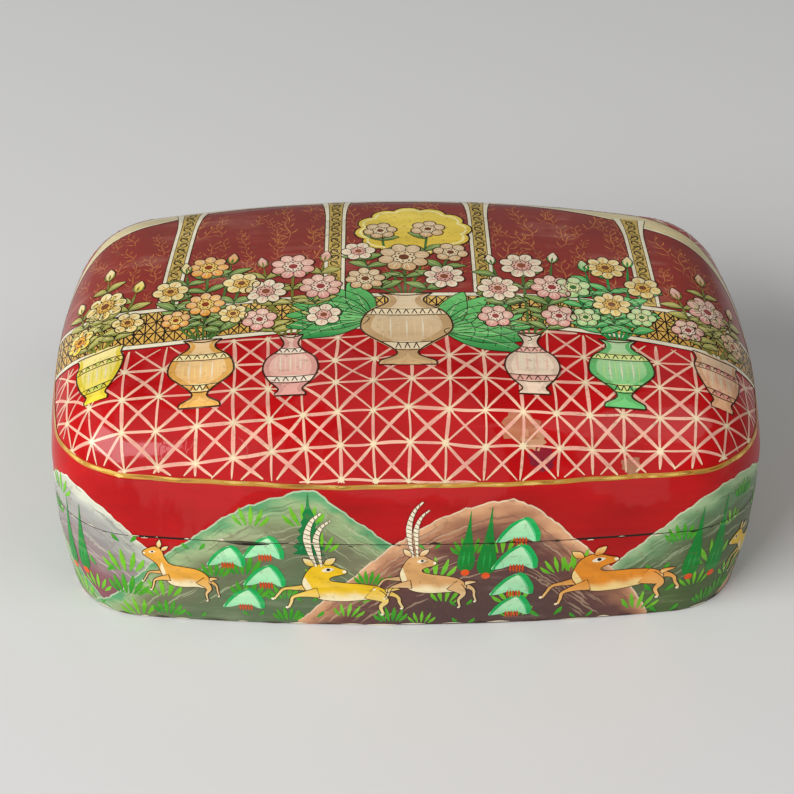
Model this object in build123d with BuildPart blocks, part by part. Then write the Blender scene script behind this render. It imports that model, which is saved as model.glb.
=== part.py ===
"""A lacquered keepsake box with a lift-off domed lid.

The box is moulded whole over a form and sawn in two at the parting plane, so the lid and the wall below it
share one outline: a rectangle with bowed sides and wide round corners. Below the parting the wall sweeps in
towards its foot. Above it the wall rolls over a wide shoulder, which ends on a level ring, and a crown swells
up over that ring. A board let into a rebate closes the bottom, and a bent strip glued inside the mouth stands
up to steady the lid.

Frame: the origin is the centre of the underside, +Z is up, X runs along the length, and -Y is the front.
"""
import os
from math import cos, radians, sin, sqrt

from build123d import *

# The moulded form, outside
box_length = 216.0
box_width = 142.0
box_height = 80.0
side_bow = 8.0  # how far the long sides bow out past their own ends
end_bow = 5.5  # the same for the two short ends
corner_radius = 29.0
shoulder_radius = 29.0  # the roll from the wall into the top, which makes each corner part of a ball
shoulder_turn = 76.0  # degrees that the roll turns through before the crown takes over
crown_rise = 4.8  # how far the crown swells above the end of the roll

# Where the form is sawn, and how its lower half stands
parting_height = 35.0
foot_inset = 3.9  # how far the wall has swept in at the foot

# Thicknesses
wall_thickness = 4.2
inside_draw = 3.2  # how far the inside of the lower wall leans in from the parting to the floor
floor_thickness = 4.0
foot_lip = 1.9  # wall left outside the rebate that takes the floor
glue_gap = 0.08

# The strip that steadies the lid
collar_thickness = 2.8
collar_depth = 17.0  # glued inside the wall
collar_stand = 7.0  # standing above the parting
lid_clearance = 0.35
collar_seam = 0.5  # the butt joint at the back
collar_arris = 0.8  # the lead-in that finds the lid

# Each side of the outline is an arc, and so is the lower wall's face, which stands upright at the parting
side_radius = ((box_length / 2 - end_bow) ** 2 + side_bow**2) / (2 * side_bow)
end_radius = ((box_width / 2 - side_bow) ** 2 + end_bow**2) / (2 * end_bow)
sweep_radius = (parting_height**2 + foot_inset**2) / (2 * foot_inset)


def bowed_outline(inset, height):
    """The plan outline at a height, moved inwards by an inset all round: what four large circles share."""
    with BuildSketch(Plane.XY.offset(height)) as outline:
        Rectangle(box_length, box_width)
        for side in PolarLocations(side_radius - box_width / 2, 2, start_angle=90):
            with Locations(side):
                Circle(side_radius - inset, mode=Mode.INTERSECT)
        for end in PolarLocations(end_radius - box_length / 2, 2):
            with Locations(end):
                Circle(end_radius - inset, mode=Mode.INTERSECT)
        fillet(outline.vertices(), corner_radius - inset)
    return outline.sketch


def arc_drop(radius, reach):
    """How far an arc falls below its top at a distance from its middle."""
    return radius - sqrt(radius**2 - reach**2)


def band_plane(path):
    """The plane square to the start of an outline: its X points into the box and its Y points up."""
    along = path % 0
    return Plane(origin=path @ 0, x_dir=Vector(0, 0, 1).cross(along), z_dir=along)


def inner_face(height):
    """How far inside the outline the inside of the lower wall lies at a height."""
    return wall_thickness + inside_draw * (parting_height - height) / (parting_height - floor_thickness)


def domed_form(inset):
    """The upper half of the form as a solid, from the parting up: wall, rolled shoulder and crown."""
    roll_centre = box_height - crown_rise - shoulder_radius * sin(radians(shoulder_turn))
    roll_radius = shoulder_radius - inset

    def roll(turn):
        """A point of the roll, turned through an angle from the upright wall."""
        across = shoulder_radius - roll_radius * cos(radians(turn))
        return across, roll_centre + roll_radius * sin(radians(turn))

    ring_inset, ring_height = roll(shoulder_turn)
    with BuildPart() as form:
        with BuildSketch(band_plane(outline_path)):
            with BuildLine():
                Line((inset, parting_height), roll(0))
                ThreePointArc(roll(0), roll(shoulder_turn / 2), roll(shoulder_turn))
                Polyline(roll(shoulder_turn), (ring_inset, parting_height), (inset, parting_height))
            make_face()
        sweep(path=outline_path)
        add(bowed_outline(ring_inset, parting_height))
        extrude(amount=ring_height - parting_height)
    *below, level = form.faces().sort_by(Axis.Z)
    crown = Face.make_surface(level.outer_wire(), [(0, 0, box_height - inset)])
    return Solid(Shell([*below, crown]))


# The lid: one moulded shell, open below, whose sawn rim lands on the rim of the wall
outline_path = bowed_outline(0, 0).face().outer_wire()
with BuildPart() as lid_shell:
    add(domed_form(0))
    add(domed_form(wall_thickness), mode=Mode.SUBTRACT)
lid_shell.part.label = "lid_shell"

# The wall: the lower half of the same shell, with a rebate round its foot for the floor
with BuildPart() as base_wall:
    with BuildSketch(band_plane(outline_path)):
        with BuildLine():
            sweep_middle = (arc_drop(sweep_radius, parting_height / 2), parting_height / 2)
            rebate_edge = foot_inset + foot_lip
            ThreePointArc((foot_inset, 0), sweep_middle, (0, parting_height))
            Polyline(
                (0, parting_height),
                (wall_thickness, parting_height),
                (inner_face(floor_thickness), floor_thickness),
                (rebate_edge, floor_thickness),
                (rebate_edge, 0),
                (foot_inset, 0),
            )
        make_face()
    sweep(path=outline_path)
base_wall.part.label = "base_wall"

# The floor: a flat board glued up into the rebate, flush with the foot
with BuildPart() as floor_board:
    add(bowed_outline(foot_inset + foot_lip + glue_gap, 0))
    extrude(amount=floor_thickness)
floor_board.part.label = "floor_board"

# The collar: a strip bent round inside the mouth, relieved above the parting so that the lid slides over it
with BuildPart() as lid_collar:
    with BuildSketch(band_plane(outline_path)) as strip_profile:
        with BuildLine():
            strip_foot = parting_height - collar_depth
            strip_top = parting_height + collar_stand
            outer_face = wall_thickness + lid_clearance
            Polyline(
                (inner_face(strip_foot), strip_foot),
                (outer_face + collar_thickness, strip_foot),
                (outer_face + collar_thickness, strip_top),
                (outer_face, strip_top),
                (outer_face, parting_height),
                (wall_thickness, parting_height),
                close=True,
            )
        make_face()
        lead_in = strip_profile.vertices().group_by(Axis.Y)[-1].sort_by(Axis.X)[0]
        chamfer(lead_in, collar_arris)
    sweep(path=outline_path)
    with BuildSketch(Plane.XY):
        with Locations((0, box_width / 2)):
            Rectangle(collar_seam, box_width / 2)
    extrude(amount=strip_top, mode=Mode.SUBTRACT)
lid_collar.part.label = "lid_collar"

os.makedirs("parts", exist_ok=True)
for piece in (lid_shell, base_wall, floor_board, lid_collar):
    export_step(piece.part, f"parts/{piece.part.label}.step")
    print(piece.part.label, len(piece.part.solids()), "solid,", round(piece.part.volume / 1000, 1), "cm3")
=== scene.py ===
import random
from math import cos, hypot, pi, radians, sin, sqrt, tau

import bmesh
import bpy
import numpy as np
from mathutils import Matrix, Vector
from mathutils.geometry import delaunay_2d_cdt


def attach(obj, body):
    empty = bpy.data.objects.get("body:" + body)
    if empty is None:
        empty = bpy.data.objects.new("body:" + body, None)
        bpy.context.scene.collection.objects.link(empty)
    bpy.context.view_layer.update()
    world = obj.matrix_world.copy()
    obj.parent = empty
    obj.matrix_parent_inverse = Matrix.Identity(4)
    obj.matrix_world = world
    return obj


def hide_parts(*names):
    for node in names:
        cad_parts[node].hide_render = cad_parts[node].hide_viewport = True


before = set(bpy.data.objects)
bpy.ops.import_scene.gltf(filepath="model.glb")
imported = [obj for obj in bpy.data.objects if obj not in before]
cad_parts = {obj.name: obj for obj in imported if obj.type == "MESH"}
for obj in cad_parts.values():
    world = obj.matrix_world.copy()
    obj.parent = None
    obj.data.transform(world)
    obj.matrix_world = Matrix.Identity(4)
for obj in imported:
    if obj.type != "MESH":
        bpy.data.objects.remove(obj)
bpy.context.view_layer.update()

# The moulded form
# Layers of paper were pasted over a wooden form, so lid and wall share one outline: a rectangle with bowed
# sides and round corners. The wall sweeps in to its foot, and a wide roll leads up into a low crown.
mm = 0.001
form_long = 215.3 * mm
form_wide = 140.9 * mm
form_high = 79.75 * mm
side_bow = 8.0 * mm
end_bow = 5.5 * mm
corner_round = 28.5 * mm
shoulder_round = 28.1 * mm
parting = 35.0 * mm
foot_inset = 3.7 * mm
shell_thick = 4.0 * mm
crown_fall_along = 0.00065 / mm
crown_fall_across = 0.00157 / mm

half_long = form_long / 2
half_wide = form_wide / 2
side_arc = ((half_long - end_bow) ** 2 + side_bow**2) / (2 * side_bow)
end_arc = ((half_wide - side_bow) ** 2 + end_bow**2) / (2 * end_bow)
sweep_arc = (parting**2 + foot_inset**2) / (2 * foot_inset)
side_centre = (0.0, half_wide - side_arc)
end_centre = (half_long - end_arc, 0.0)


def corner_centre():
    """Where the round of the back right corner is centred, so that it meets both arcs without a break."""
    reach_side = side_arc - corner_round
    reach_end = end_arc - corner_round
    apart = hypot(end_centre[0], side_centre[1])
    along = (reach_side**2 - reach_end**2 + apart**2) / (2 * apart)
    off = sqrt(reach_side**2 - along**2)
    ux, uy = (end_centre[0] - side_centre[0]) / apart, (end_centre[1] - side_centre[1]) / apart
    return side_centre[0] + along * ux + off * uy, side_centre[1] + along * uy - off * ux


corner = corner_centre()
side_turn = np.arctan2(corner[1] - side_centre[1], corner[0] - side_centre[0])
end_turn = np.arctan2(corner[1] - end_centre[1], corner[0] - end_centre[0])
side_run = side_arc * (pi / 2 - side_turn)
corner_run = corner_round * (side_turn - end_turn)
quarter = side_run + corner_run + end_arc * end_turn
girth = 4 * quarter


def outline_at(along):
    """Points of the widest outline and its outward directions, from the middle of the front to the right."""
    along = np.asarray(along, float) % girth
    turn = np.minimum((along // quarter).astype(int), 3)
    run = along - turn * quarter
    run = np.where(turn % 2 == 1, quarter - run, run)
    part = np.where(run < side_run, 0, np.where(run < side_run + corner_run, 1, 2))
    angle = np.choose(part, [pi / 2 - run / side_arc, side_turn - (run - side_run) / corner_round,
                             end_turn - (run - side_run - corner_run) / end_arc])
    radius = np.choose(part, [side_arc, corner_round, end_arc])
    x = np.choose(part, [side_centre[0], corner[0], end_centre[0]]) + radius * np.cos(angle)
    y = np.choose(part, [side_centre[1], corner[1], end_centre[1]]) + radius * np.sin(angle)
    way_x = np.where(turn < 2, 1, -1)
    way_y = np.where((turn == 0) | (turn == 3), -1, 1)
    return (np.stack([x * way_x, y * way_y], -1),
            np.stack([np.cos(angle) * way_x, np.sin(angle) * way_y], -1))


def roll_at(along):
    """The outline, where the roll starts in height, and through what angle it turns to meet the crown."""
    point, out = outline_at(along)
    inner = point - shoulder_round * out
    level = form_high - crown_fall_along * inner[..., 0] ** 2 - crown_fall_across * inner[..., 1] ** 2
    lean = np.arctan(2 * (crown_fall_along * inner[..., 0] * out[..., 0]
                          + crown_fall_across * inner[..., 1] * out[..., 1]))
    return point, out, level - shoulder_round / np.cos(lean), pi / 2 - lean


def wall_point(along, up):
    """Points and outward directions of the outside, at a way round it and a way up it over the roll."""
    point, out, start, end = roll_at(along)
    up = np.asarray(up, float)
    turn = np.clip((up - start) / shoulder_round, 0, end)
    below = np.clip(parting - up, 0, parting)
    lean = np.arcsin(below / sweep_arc)
    swept = up < parting
    inset = np.where(swept, sweep_arc - np.sqrt(sweep_arc**2 - below**2), shoulder_round * (1 - np.cos(turn)))
    height = np.where(up < start, up, start + shoulder_round * np.sin(turn))
    flat = np.where(swept, np.cos(lean), np.cos(turn))
    rise = np.where(swept, -np.sin(lean), np.sin(turn))
    place = np.concatenate([point - out * inset[..., None], height[..., None]], -1)
    return place, np.concatenate([out * flat[..., None], rise[..., None]], -1)


def crown_point(x, y):
    """Points and outward directions of the crown over a place in plan."""
    height = form_high - crown_fall_along * x**2 - crown_fall_across * y**2
    out = np.stack([2 * crown_fall_along * x, 2 * crown_fall_across * y, np.ones_like(x)], -1)
    return np.stack([x, y, height], -1), out / np.linalg.norm(out, axis=-1, keepdims=True)


# The lid
# The upper half of the form, sawn off whole. Outside it is painted and varnished, inside it has plain dark
# lacquer, and its sawn rim has softened edges where the ground shows.
def loft(name, rings, closed=False, poles=()):
    """A mesh of rings joined in order, all running the same way round, with a pole over each end ring."""
    count = len(rings[0])
    points = [p for ring in rings for p in ring] + list(poles)
    faces = []
    for low in range(len(rings) - (not closed)):
        high = (low + 1) % len(rings)
        for j in range(count):
            k = (j + 1) % count
            faces.append((low * count + j, low * count + k, high * count + k, high * count + j))
    if poles:
        end = len(rings) * count
        faces += [(end, (j + 1) % count, j) for j in range(count)]
        faces += [(end - count + j, end - count + (j + 1) % count, end + 1) for j in range(count)]
    mesh = bpy.data.meshes.new(name)
    mesh.from_pydata([tuple(map(float, p)) for p in points], [], faces)
    mesh.shade_smooth()
    piece = bpy.data.objects.new(name, mesh)
    bpy.context.collection.objects.link(piece)
    return piece


def put(tree, kind, inputs=None, **settings):
    """Adds a node to a tree, sets it, and fills its inputs with values or with other nodes' outputs."""
    node = tree.nodes.new(kind)
    for key, value in settings.items():
        setattr(node, key, value)
    for key, value in (inputs or {}).items():
        if isinstance(value, bpy.types.NodeSocket):
            tree.links.new(value, node.inputs[key])
        else:
            node.inputs[key].default_value = value
    return node


def worked(tree, operation, *values):
    """One step of arithmetic on values or outputs."""
    return put(tree, "ShaderNodeMath", dict(enumerate(values)), operation=operation).outputs[0]


def spread(tree, value, low, high, first=0.0, last=1.0):
    """A run of values from low to high, spread out from a first to a last one and held there."""
    return put(tree, "ShaderNodeMapRange", dict(enumerate((value, low, high, first, last)))).outputs[0]


def noise(tree, place, scale, detail, roughness=0.5, distortion=0.0):
    """An uneven cloud of values about one half."""
    return put(tree, "ShaderNodeTexNoise", {"Vector": place, "Scale": scale, "Detail": detail,
                                            "Roughness": roughness, "Distortion": distortion}).outputs[0]


def blend(tree, share, low, high):
    """A mix of two colours, each three values or an output, by a mask."""
    low, high = (c if isinstance(c, bpy.types.NodeSocket) else (*c, 1) for c in (low, high))
    return put(tree, "ShaderNodeMix", {0: share, 6: low, 7: high}, data_type="RGBA").outputs[2]


def group(name, inputs, outputs):
    """An empty group of nodes that takes a vector and some values, and gives values back."""
    tree = bpy.data.node_groups.new(name, "ShaderNodeTree")
    tree.interface.new_socket("Vector", in_out="INPUT", socket_type="NodeSocketVector")
    for way, labels in (("INPUT", inputs), ("OUTPUT", outputs)):
        for label in labels:
            tree.interface.new_socket(label, in_out=way, socket_type="NodeSocketFloat")
    return tree, put(tree, "NodeGroupInput").outputs, put(tree, "NodeGroupOutput").inputs


def brushing_group():
    """Fine streaks that a soft brush leaves along the X of the vector, as a mask and a height."""
    tree, given, out = group("brushing", ["Streaks", "Stretch"], ["Streak", "Height"])
    across = put(tree, "ShaderNodeCombineXYZ", {0: 1.0, 1: given["Stretch"], 2: given["Stretch"]}).outputs[0]
    laid = put(tree, "ShaderNodeVectorMath", {0: given["Vector"], 1: across}, operation="MULTIPLY").outputs[0]
    hair = noise(tree, laid, given["Streaks"], 5.0, 0.62, 0.3)
    both = worked(tree, "ADD", hair, noise(tree, given["Vector"], 45.0, 3.0))
    tree.links.new(spread(tree, both, 0.7, 1.3), out["Streak"])
    tree.links.new(hair, out["Height"])
    return tree


def crazing_group():
    """Fine cracks in old varnish, in patches, as a mask."""
    tree, given, out = group("crazing", [], ["Crack"])
    wander = put(tree, "ShaderNodeTexNoise", {"Vector": given["Vector"], "Scale": 220.0, "Detail": 3.0})
    shift = put(tree, "ShaderNodeVectorMath", {0: wander.outputs["Color"], 1: (0.004, 0.004, 0.004),
                                               2: given["Vector"]}, operation="MULTIPLY_ADD").outputs[0]
    cells = put(tree, "ShaderNodeTexVoronoi", {"Vector": shift, "Scale": 150.0}, feature="DISTANCE_TO_EDGE")
    line = spread(tree, cells.outputs[0], 0.0, 0.035, 1.0, 0.0)
    patch = spread(tree, noise(tree, given["Vector"], 30.0, 4.0), 0.5, 0.62)
    tree.links.new(worked(tree, "MULTIPLY", line, patch), out["Crack"])
    return tree


def chipping_group():
    """Where lacquer has chipped off down to the ground: flakes along the saw cut and the foot, as a mask."""
    tree, given, out = group("chipping", ["Amount"], ["Chip"])
    height = put(tree, "ShaderNodeSeparateXYZ", {0: given["Vector"]}).outputs[2]
    off_cut = worked(tree, "ABSOLUTE", worked(tree, "SUBTRACT", height, parting))
    nearest = worked(tree, "MINIMUM", off_cut, worked(tree, "ABSOLUTE", height))
    near = spread(tree, nearest, 0.0, 2.2 * mm, 0.34, -0.25)
    flakes = worked(tree, "ADD", noise(tree, given["Vector"], 420.0, 3.0, 0.55), near)
    total = worked(tree, "ADD", noise(tree, given["Vector"], 38.0, 2.0), flakes)
    tree.links.new(spread(tree, worked(tree, "ADD", total, given["Amount"]), 1.78, 1.84), out["Chip"])
    return tree


brushing, crazing, chipping = brushing_group(), crazing_group(), chipping_group()
# The second colour is a painted shade for the gap at the saw cut.
pale_ground, cut_gap_shade = (0.55, 0.43, 0.30), (0.020, 0.012, 0.009)


def varnished(name, colour_of, streaks, stretch, rough, gloss, relief, laid=False, chipped=0.0,
              ground=pale_ground):
    """A brushed colour under varnish that isn't quite level, crazed, and chipped down to its ground."""
    made = bpy.data.materials.new(name)
    made.use_nodes = True
    tree = made.node_tree
    place = put(tree, "ShaderNodeTexCoord").outputs["Object"]
    way = put(tree, "ShaderNodeUVMap", uv_map="laid").outputs[0] if laid else place
    streak, hair = put(tree, "ShaderNodeGroup", {"Vector": way, "Streaks": streaks, "Stretch": stretch},
                       node_tree=brushing).outputs
    crack = put(tree, "ShaderNodeGroup", {"Vector": place}, node_tree=crazing).outputs[0]
    chip = put(tree, "ShaderNodeGroup", {"Vector": place, "Amount": chipped}, node_tree=chipping).outputs[0]
    heights = worked(tree, "MULTIPLY_ADD", hair, relief, noise(tree, place, 34.0, 1.5))
    heights = worked(tree, "MULTIPLY_ADD", crack, 0.0 if laid else -0.02, heights)
    heights = worked(tree, "MULTIPLY_ADD", chip, -0.12, heights)
    bump = put(tree, "ShaderNodeBump", {"Height": heights, "Strength": 1.0, "Distance": 0.9 * mm}).outputs[0]
    shader = tree.nodes["Principled BSDF"].inputs
    for socket, value in (("Base Color", blend(tree, chip, colour_of(tree, place, streak, crack), ground)),
                          ("Roughness", spread(tree, streak, 0.0, 1.0, *rough)), ("Normal", bump),
                          ("Coat Weight", spread(tree, chip, 0.0, 1.0, 0.5, 0.05)), ("Coat Normal", bump)):
        tree.links.new(value, shader[socket])
    shader["Coat Roughness"].default_value = gloss
    shader["Coat IOR"].default_value = 1.4
    shader["Specular IOR Level"].default_value = 0.03
    return made


def lacquer(name, deep, bright, gloss=0.06, **wear):
    """Brushed lacquer: two shades in streaks, rubbed paler in clouds, with a painted sheen that grows up the
    wall, and painted shade at the saw cut and at the foot.
    """
    def colour_of(tree, place, streak, crack):
        colour = blend(tree, streak, deep, bright)
        colour = blend(tree, worked(tree, "MULTIPLY", crack, 0.12), colour, [0.3 * c for c in deep])
        height = put(tree, "ShaderNodeSeparateXYZ", {0: place}).outputs[2]
        # Paler clouds in the red: the noise is rubbed wear, and the rise with height from 40 to 56 mm is a
        # painted sheen on the upper wall, the roll and the crown.
        rubbed_clouds_and_sheen = worked(tree, "ADD", noise(tree, place, 24.0, 6.0, 0.6, 0.6),
                        spread(tree, height, 40 * mm, 56 * mm, 0.0, 0.16))
        colour = blend(tree, spread(tree, rubbed_clouds_and_sheen, 0.64, 0.68, 0.0, 0.30), colour,
                       [0.85 * c + 0.035 for c in bright])
        # Painted shade: near black in the gap at the saw cut, and dark brown at the foot where the box meets
        # the floor.
        off_cut = worked(tree, "ABSOLUTE", worked(tree, "SUBTRACT", height, parting))
        at_cut = spread(tree, off_cut, 0.30 * mm, 0.48 * mm, 1.0, 0.0)
        at_foot = spread(tree, height, 0.45 * mm, 0.75 * mm, 1.0, 0.0)
        return blend(tree, at_foot, blend(tree, at_cut, colour, cut_gap_shade), (0.10, 0.070, 0.045))
    return varnished(name, colour_of, 26.0, 7.0, (0.30, 0.48), gloss, 0.05, **wear)


red_lacquer = lacquer("red_lacquer", (0.33, 0.0015, 0.0020), (0.47, 0.0030, 0.0040))
dark_lacquer = lacquer("dark_lacquer", (0.012, 0.009, 0.008), (0.026, 0.018, 0.015), gloss=0.22)
stations = np.linspace(0, girth, 324, endpoint=False)
outline, outward = outline_at(stations)
rim_round = 0.35 * mm
rim_bevel = 0.3 * rim_round
rim_low, rim_high = parting + rim_bevel, parting + rim_round
wall_rows, roll_rows, crown_rows = 6, 24, 26


def ring(inset, height):
    """One ring of points at an inset from the outline."""
    return np.concatenate([outline - outward * inset, np.full((len(stations), 1), height)], -1)


def dress_shell(piece, is_inside):
    """Gives a shell its red outside and its dark inside, by the number of a face's ring."""
    piece.data.materials.append(red_lacquer)
    piece.data.materials.append(dark_lacquer)
    for face in piece.data.polygons:
        if is_inside(face.index // len(stations)):
            face.material_index = 1


_, _, roll_start, roll_turn = roll_at(stations)
lid_up = [rim_high + (roll_start - rim_high) * k / wall_rows for k in range(wall_rows + 1)]
lid_up += [roll_start + shoulder_round * roll_turn * k / roll_rows for k in range(1, roll_rows + 1)]
lid_outside = [wall_point(stations, up) for up in lid_up]
ring_edge = lid_outside[-1][0]
lid_outside += [crown_point(*(ring_edge[:, :2].T * (1 - k / crown_rows))) for k in range(1, crown_rows)]
lid_rings = [place - out * shell_thick for place, out in lid_outside[::-1]]
lid_rings += [ring(shell_thick, rim_high), ring(shell_thick - rim_bevel, rim_low),
              ring(shell_thick - rim_round, parting), ring(rim_round, parting), ring(rim_bevel, rim_low)]
lid_rings += [place for place, _ in lid_outside]
lid = loft("lid", lid_rings, poles=((0, 0, form_high - shell_thick), (0, 0, form_high)))
dress_shell(lid, lambda k: k <= len(lid_outside) or k == len(lid_rings) - 1)
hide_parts("lid_shell")
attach(lid, "lid")

# The wall
# The lower half of the same form. It leans in towards the foot, is thinner there, and has a rebate round
# its foot that takes the bottom board.
rebate = 5.8 * mm
board_top = 4.02 * mm
inner_foot = 7.4 * mm
foot_round, foot_bevel, row_high = 0.5 * mm, 0.12 * mm, 2.03 * mm
wall_rings = [ring(foot_inset + foot_round, 0), ring(foot_inset + foot_bevel, foot_bevel)]
wall_rings += [wall_point(stations, np.full(len(stations), foot_round + row_high * k))[0] for k in range(17)]
wall_rings += [ring(0.0, parting - rim_round), ring(rim_bevel, parting - rim_bevel),
               ring(rim_round, parting), ring(shell_thick, parting), ring(inner_foot, board_top),
               ring(rebate, board_top), ring(rebate, 0)]
wall = loft("wall", wall_rings, closed=True)
dress_shell(wall, lambda k: k >= len(wall_rings) - 4)
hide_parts("base_wall")
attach(wall, "base")

# The bottom board and the collar
# A flat board is glued up into the rebate, and a bent strip is glued inside the mouth, with a butt seam at
# the back. Both have the same dark lacquer as the inside, and the board has it thinly over the wood.
board_lacquer = lacquer("board_lacquer", (0.016, 0.011, 0.009), (0.034, 0.022, 0.016), gloss=0.3,
                        chipped=0.02, ground=(0.20, 0.11, 0.055))
for node, finish in (("floor_board", board_lacquer), ("lid_collar", dark_lacquer)):
    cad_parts[node].material_slots[0].material = finish

# The hills of the frieze
# Gouache mixed with gum, brushed on over the red in flat streaks and edged with a pale line. The painting
# was laid before the form was sawn, so every hill runs over the cut from the lid down to the foot.
def ink(red, green, blue):
    """A paint colour, mixed in display values, as the shader wants it."""
    return tuple(((c / 255 + 0.055) / 1.055) ** 2.4 if c > 10 else c / 255 / 12.92
                 for c in (red, green, blue))


def mixed(low, high, share):
    """A tint between two."""
    return tuple(a + (b - a) * share for a, b in zip(low, high))


def smooth(points, closed=False, step=1.1):
    """A line in millimetres that flows through a few points."""
    p = np.asarray(points, float)
    if len(p) < 3 and not closed:
        cells = max(1, int(np.ceil(np.linalg.norm(p[1] - p[0]) / step)))
        return p[0] + (p[1] - p[0]) * np.linspace(0, 1, cells + 1)[:, None]
    before, after = (p[-1:], p[:2]) if closed else (2 * p[:1] - p[1:2], 2 * p[-1:] - p[-2:-1])
    p = np.concatenate([before, p, after])
    line = []
    for a, b, c, d in zip(p, p[1:], p[2:], p[3:]):
        cells = max(1, int(np.ceil(np.linalg.norm(c - b) / step)))
        t = (np.arange(cells) / cells)[:, None]
        line.append(0.5 * (2 * b + (c - a) * t + (2 * a - 5 * b + 4 * c - d) * t**2
                           + (3 * b - a - 3 * c + d) * t**3))
    return np.concatenate(line if closed else [*line, p[-2:-1]])


class Layer:
    """Paint laid out flat in millimetres before it goes on the form: x and y, a coat's height, and a tint."""

    def __init__(self):
        self.points, self.tints, self.faces = [], [], []

    def add(self, points, coat, tints, faces):
        """Adds flat faces. Their points lie at one coat, a few hundredths of a millimetre over the last."""
        start = len(self.points)
        self.points += [(x, y, coat) for x, y in points]
        self.tints += [(*tint, 1.0) for tint in tints]
        self.faces += [tuple(start + i for i in face) for face in faces]


def fill(layer, line, low, high=None, coat=1, step=2.0, shade=None):
    """A painted patch inside a closed line, shaded from its foot to its top, or by a rule of place."""
    corners = np.asarray(line, float)
    edge = []
    for a, b in zip(corners, np.roll(corners, -1, 0)):
        cells = max(1, int(np.ceil(np.hypot(*(b - a)) / step)))
        edge += list(a + (b - a) * (np.arange(cells) / cells)[:, None])
    first, last = np.min(edge, 0), np.max(edge, 0)
    inner = []
    if min(last - first) > step:
        xs, ys = (np.arange(np.ceil(low_end / step), high_end / step) * step
                  for low_end, high_end in zip(first, last))
        inner = [Vector((x, y)) for x in xs for y in ys]
    count = len(edge)
    points, _, faces, *_ = delaunay_2d_cdt([Vector(p) for p in edge] + inner,
                                           [(i, (i + 1) % count) for i in range(count)], [], 1, 1e-5)
    used = sorted({i for face in faces for i in face})
    new = {old: i for i, old in enumerate(used)}
    upward = []
    for face in faces:
        a, b, c = (points[i] for i in face)
        upward.append([new[i] for i in (face[::-1] if (b - a).cross(c - a) < 0 else face)])
    if shade:
        tints = [shade(*points[i]) for i in used]
    else:
        high_share = 1 / max(last[1] - first[1], 1e-6)
        tints = [mixed(low, high or low, (points[i].y - first[1]) * high_share) for i in used]
    layer.add([tuple(points[i]) for i in used], coat, tints, upward)


def sideways(line):
    """Unit steps to the left of a line at each of its points."""
    way = np.gradient(line, axis=0)
    way /= np.maximum(np.linalg.norm(way, axis=1, keepdims=True), 1e-9)
    return np.stack([-way[:, 1], way[:, 0]], -1)


def stroke(layer, points, width, tint, coat=3, taper=0.3, to=None, ready=False, tip=0.12):
    """One stroke of a pointed brush through a few points: it swells from its tip and thins out again."""
    line = np.asarray(points, float) if ready else smooth(points)
    t = np.linspace(0, 1, len(line))
    swell = np.ones(len(line))
    if taper:
        swell = np.minimum(1, np.minimum(t, 1 - t) / taper * (1 - tip) + tip)
    half = sideways(line) * (width / 2 * swell)[:, None]
    n = len(line)
    layer.add(np.concatenate([line - half, line + half]), coat, [mixed(tint, to or tint, x) for x in t] * 2,
              [(i, i + 1, n + i + 1, n + i) for i in range(n - 1)])


def paint(name, streaks, gloss=0.07):
    """Gum paint: the layer's own tint, brushed thick and thin, specked with grime and crazed."""
    def colour_of(tree, place, streak, crack):
        tint = put(tree, "ShaderNodeAttribute", attribute_name="tint").outputs["Color"]
        shade = spread(tree, streak, 0.0, 1.0, 0.78, 1.04)
        colour = put(tree, "ShaderNodeVectorMath", {0: tint, "Scale": shade}, operation="SCALE").outputs[0]
        colour = blend(tree, spread(tree, streak, 0.6, 1.0, 0.0, 0.10), colour, (0.80, 0.72, 0.52))
        grime = spread(tree, noise(tree, place, 520.0, 2.0), 0.60, 0.74, 0.0, 0.35)
        colour = blend(tree, grime, colour, (0.16, 0.09, 0.04))
        return blend(tree, worked(tree, "MULTIPLY", crack, 0.25), colour, (0.07, 0.03, 0.02))
    return varnished(name, colour_of, streaks, 9.0, (0.36, 0.56), gloss, 0.09, laid=True)


def lay(layer, name, surface, finish, bodies=("lid",)):
    """Wraps a flat layer on the form as one thin skin for each body, and parts it where the form is sawn."""
    flat = bmesh.new()
    tint = flat.verts.layers.float_color.new("tint")
    corners = []
    for point, colour in zip(layer.points, layer.tints):
        corners.append(flat.verts.new(point))
        corners[-1][tint] = colour
    for face in layer.faces:
        flat.faces.new([corners[i] for i in face])
    sawn = len(bodies) == 2
    for level in (cut - saw_half, cut + saw_half) if sawn else ():
        bmesh.ops.bisect_plane(flat, geom=flat.verts[:] + flat.edges[:] + flat.faces[:], dist=1e-6,
                               plane_co=(0, level, 0), plane_no=(0, 1, 0))
    whole = bpy.data.meshes.new("flat_layer")
    flat.to_mesh(whole)
    flat.free()
    for body in bodies:
        part = bmesh.new()
        part.from_mesh(whole)
        way = 1 if body == "lid" else -1
        lost = [f for f in part.faces if sawn and (f.calc_center_median().y - cut) * way < saw_half - 0.02]
        bmesh.ops.delete(part, geom=lost, context="FACES")
        mesh = bpy.data.meshes.new(f"{name}_{body}" if sawn else name)
        part.to_mesh(mesh)
        part.free()
        place = np.zeros(len(mesh.vertices) * 3)
        mesh.vertices.foreach_get("co", place)
        x, y, coat = place.reshape(-1, 3).T
        loops = np.zeros(len(mesh.loops), int)
        mesh.loops.foreach_get("vertex_index", loops)
        mesh.uv_layers.new(name="laid").data.foreach_set("uv", (np.stack([x, y], -1)[loops] * mm).ravel())
        on, out = surface(x * mm, y * mm)
        lift = (skin_lift + coat_lift * coat) * mm
        mesh.vertices.foreach_set("co", (on + out * lift[:, None]).ravel())
        mesh.update()
        mesh.shade_smooth()
        mesh.normals_split_custom_set_from_vertices(out)
        mesh.materials.append(finish)
        piece = bpy.data.objects.new(mesh.name, mesh)
        bpy.context.collection.objects.link(piece)
        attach(piece, body)
    bpy.data.meshes.remove(whole)


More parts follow.
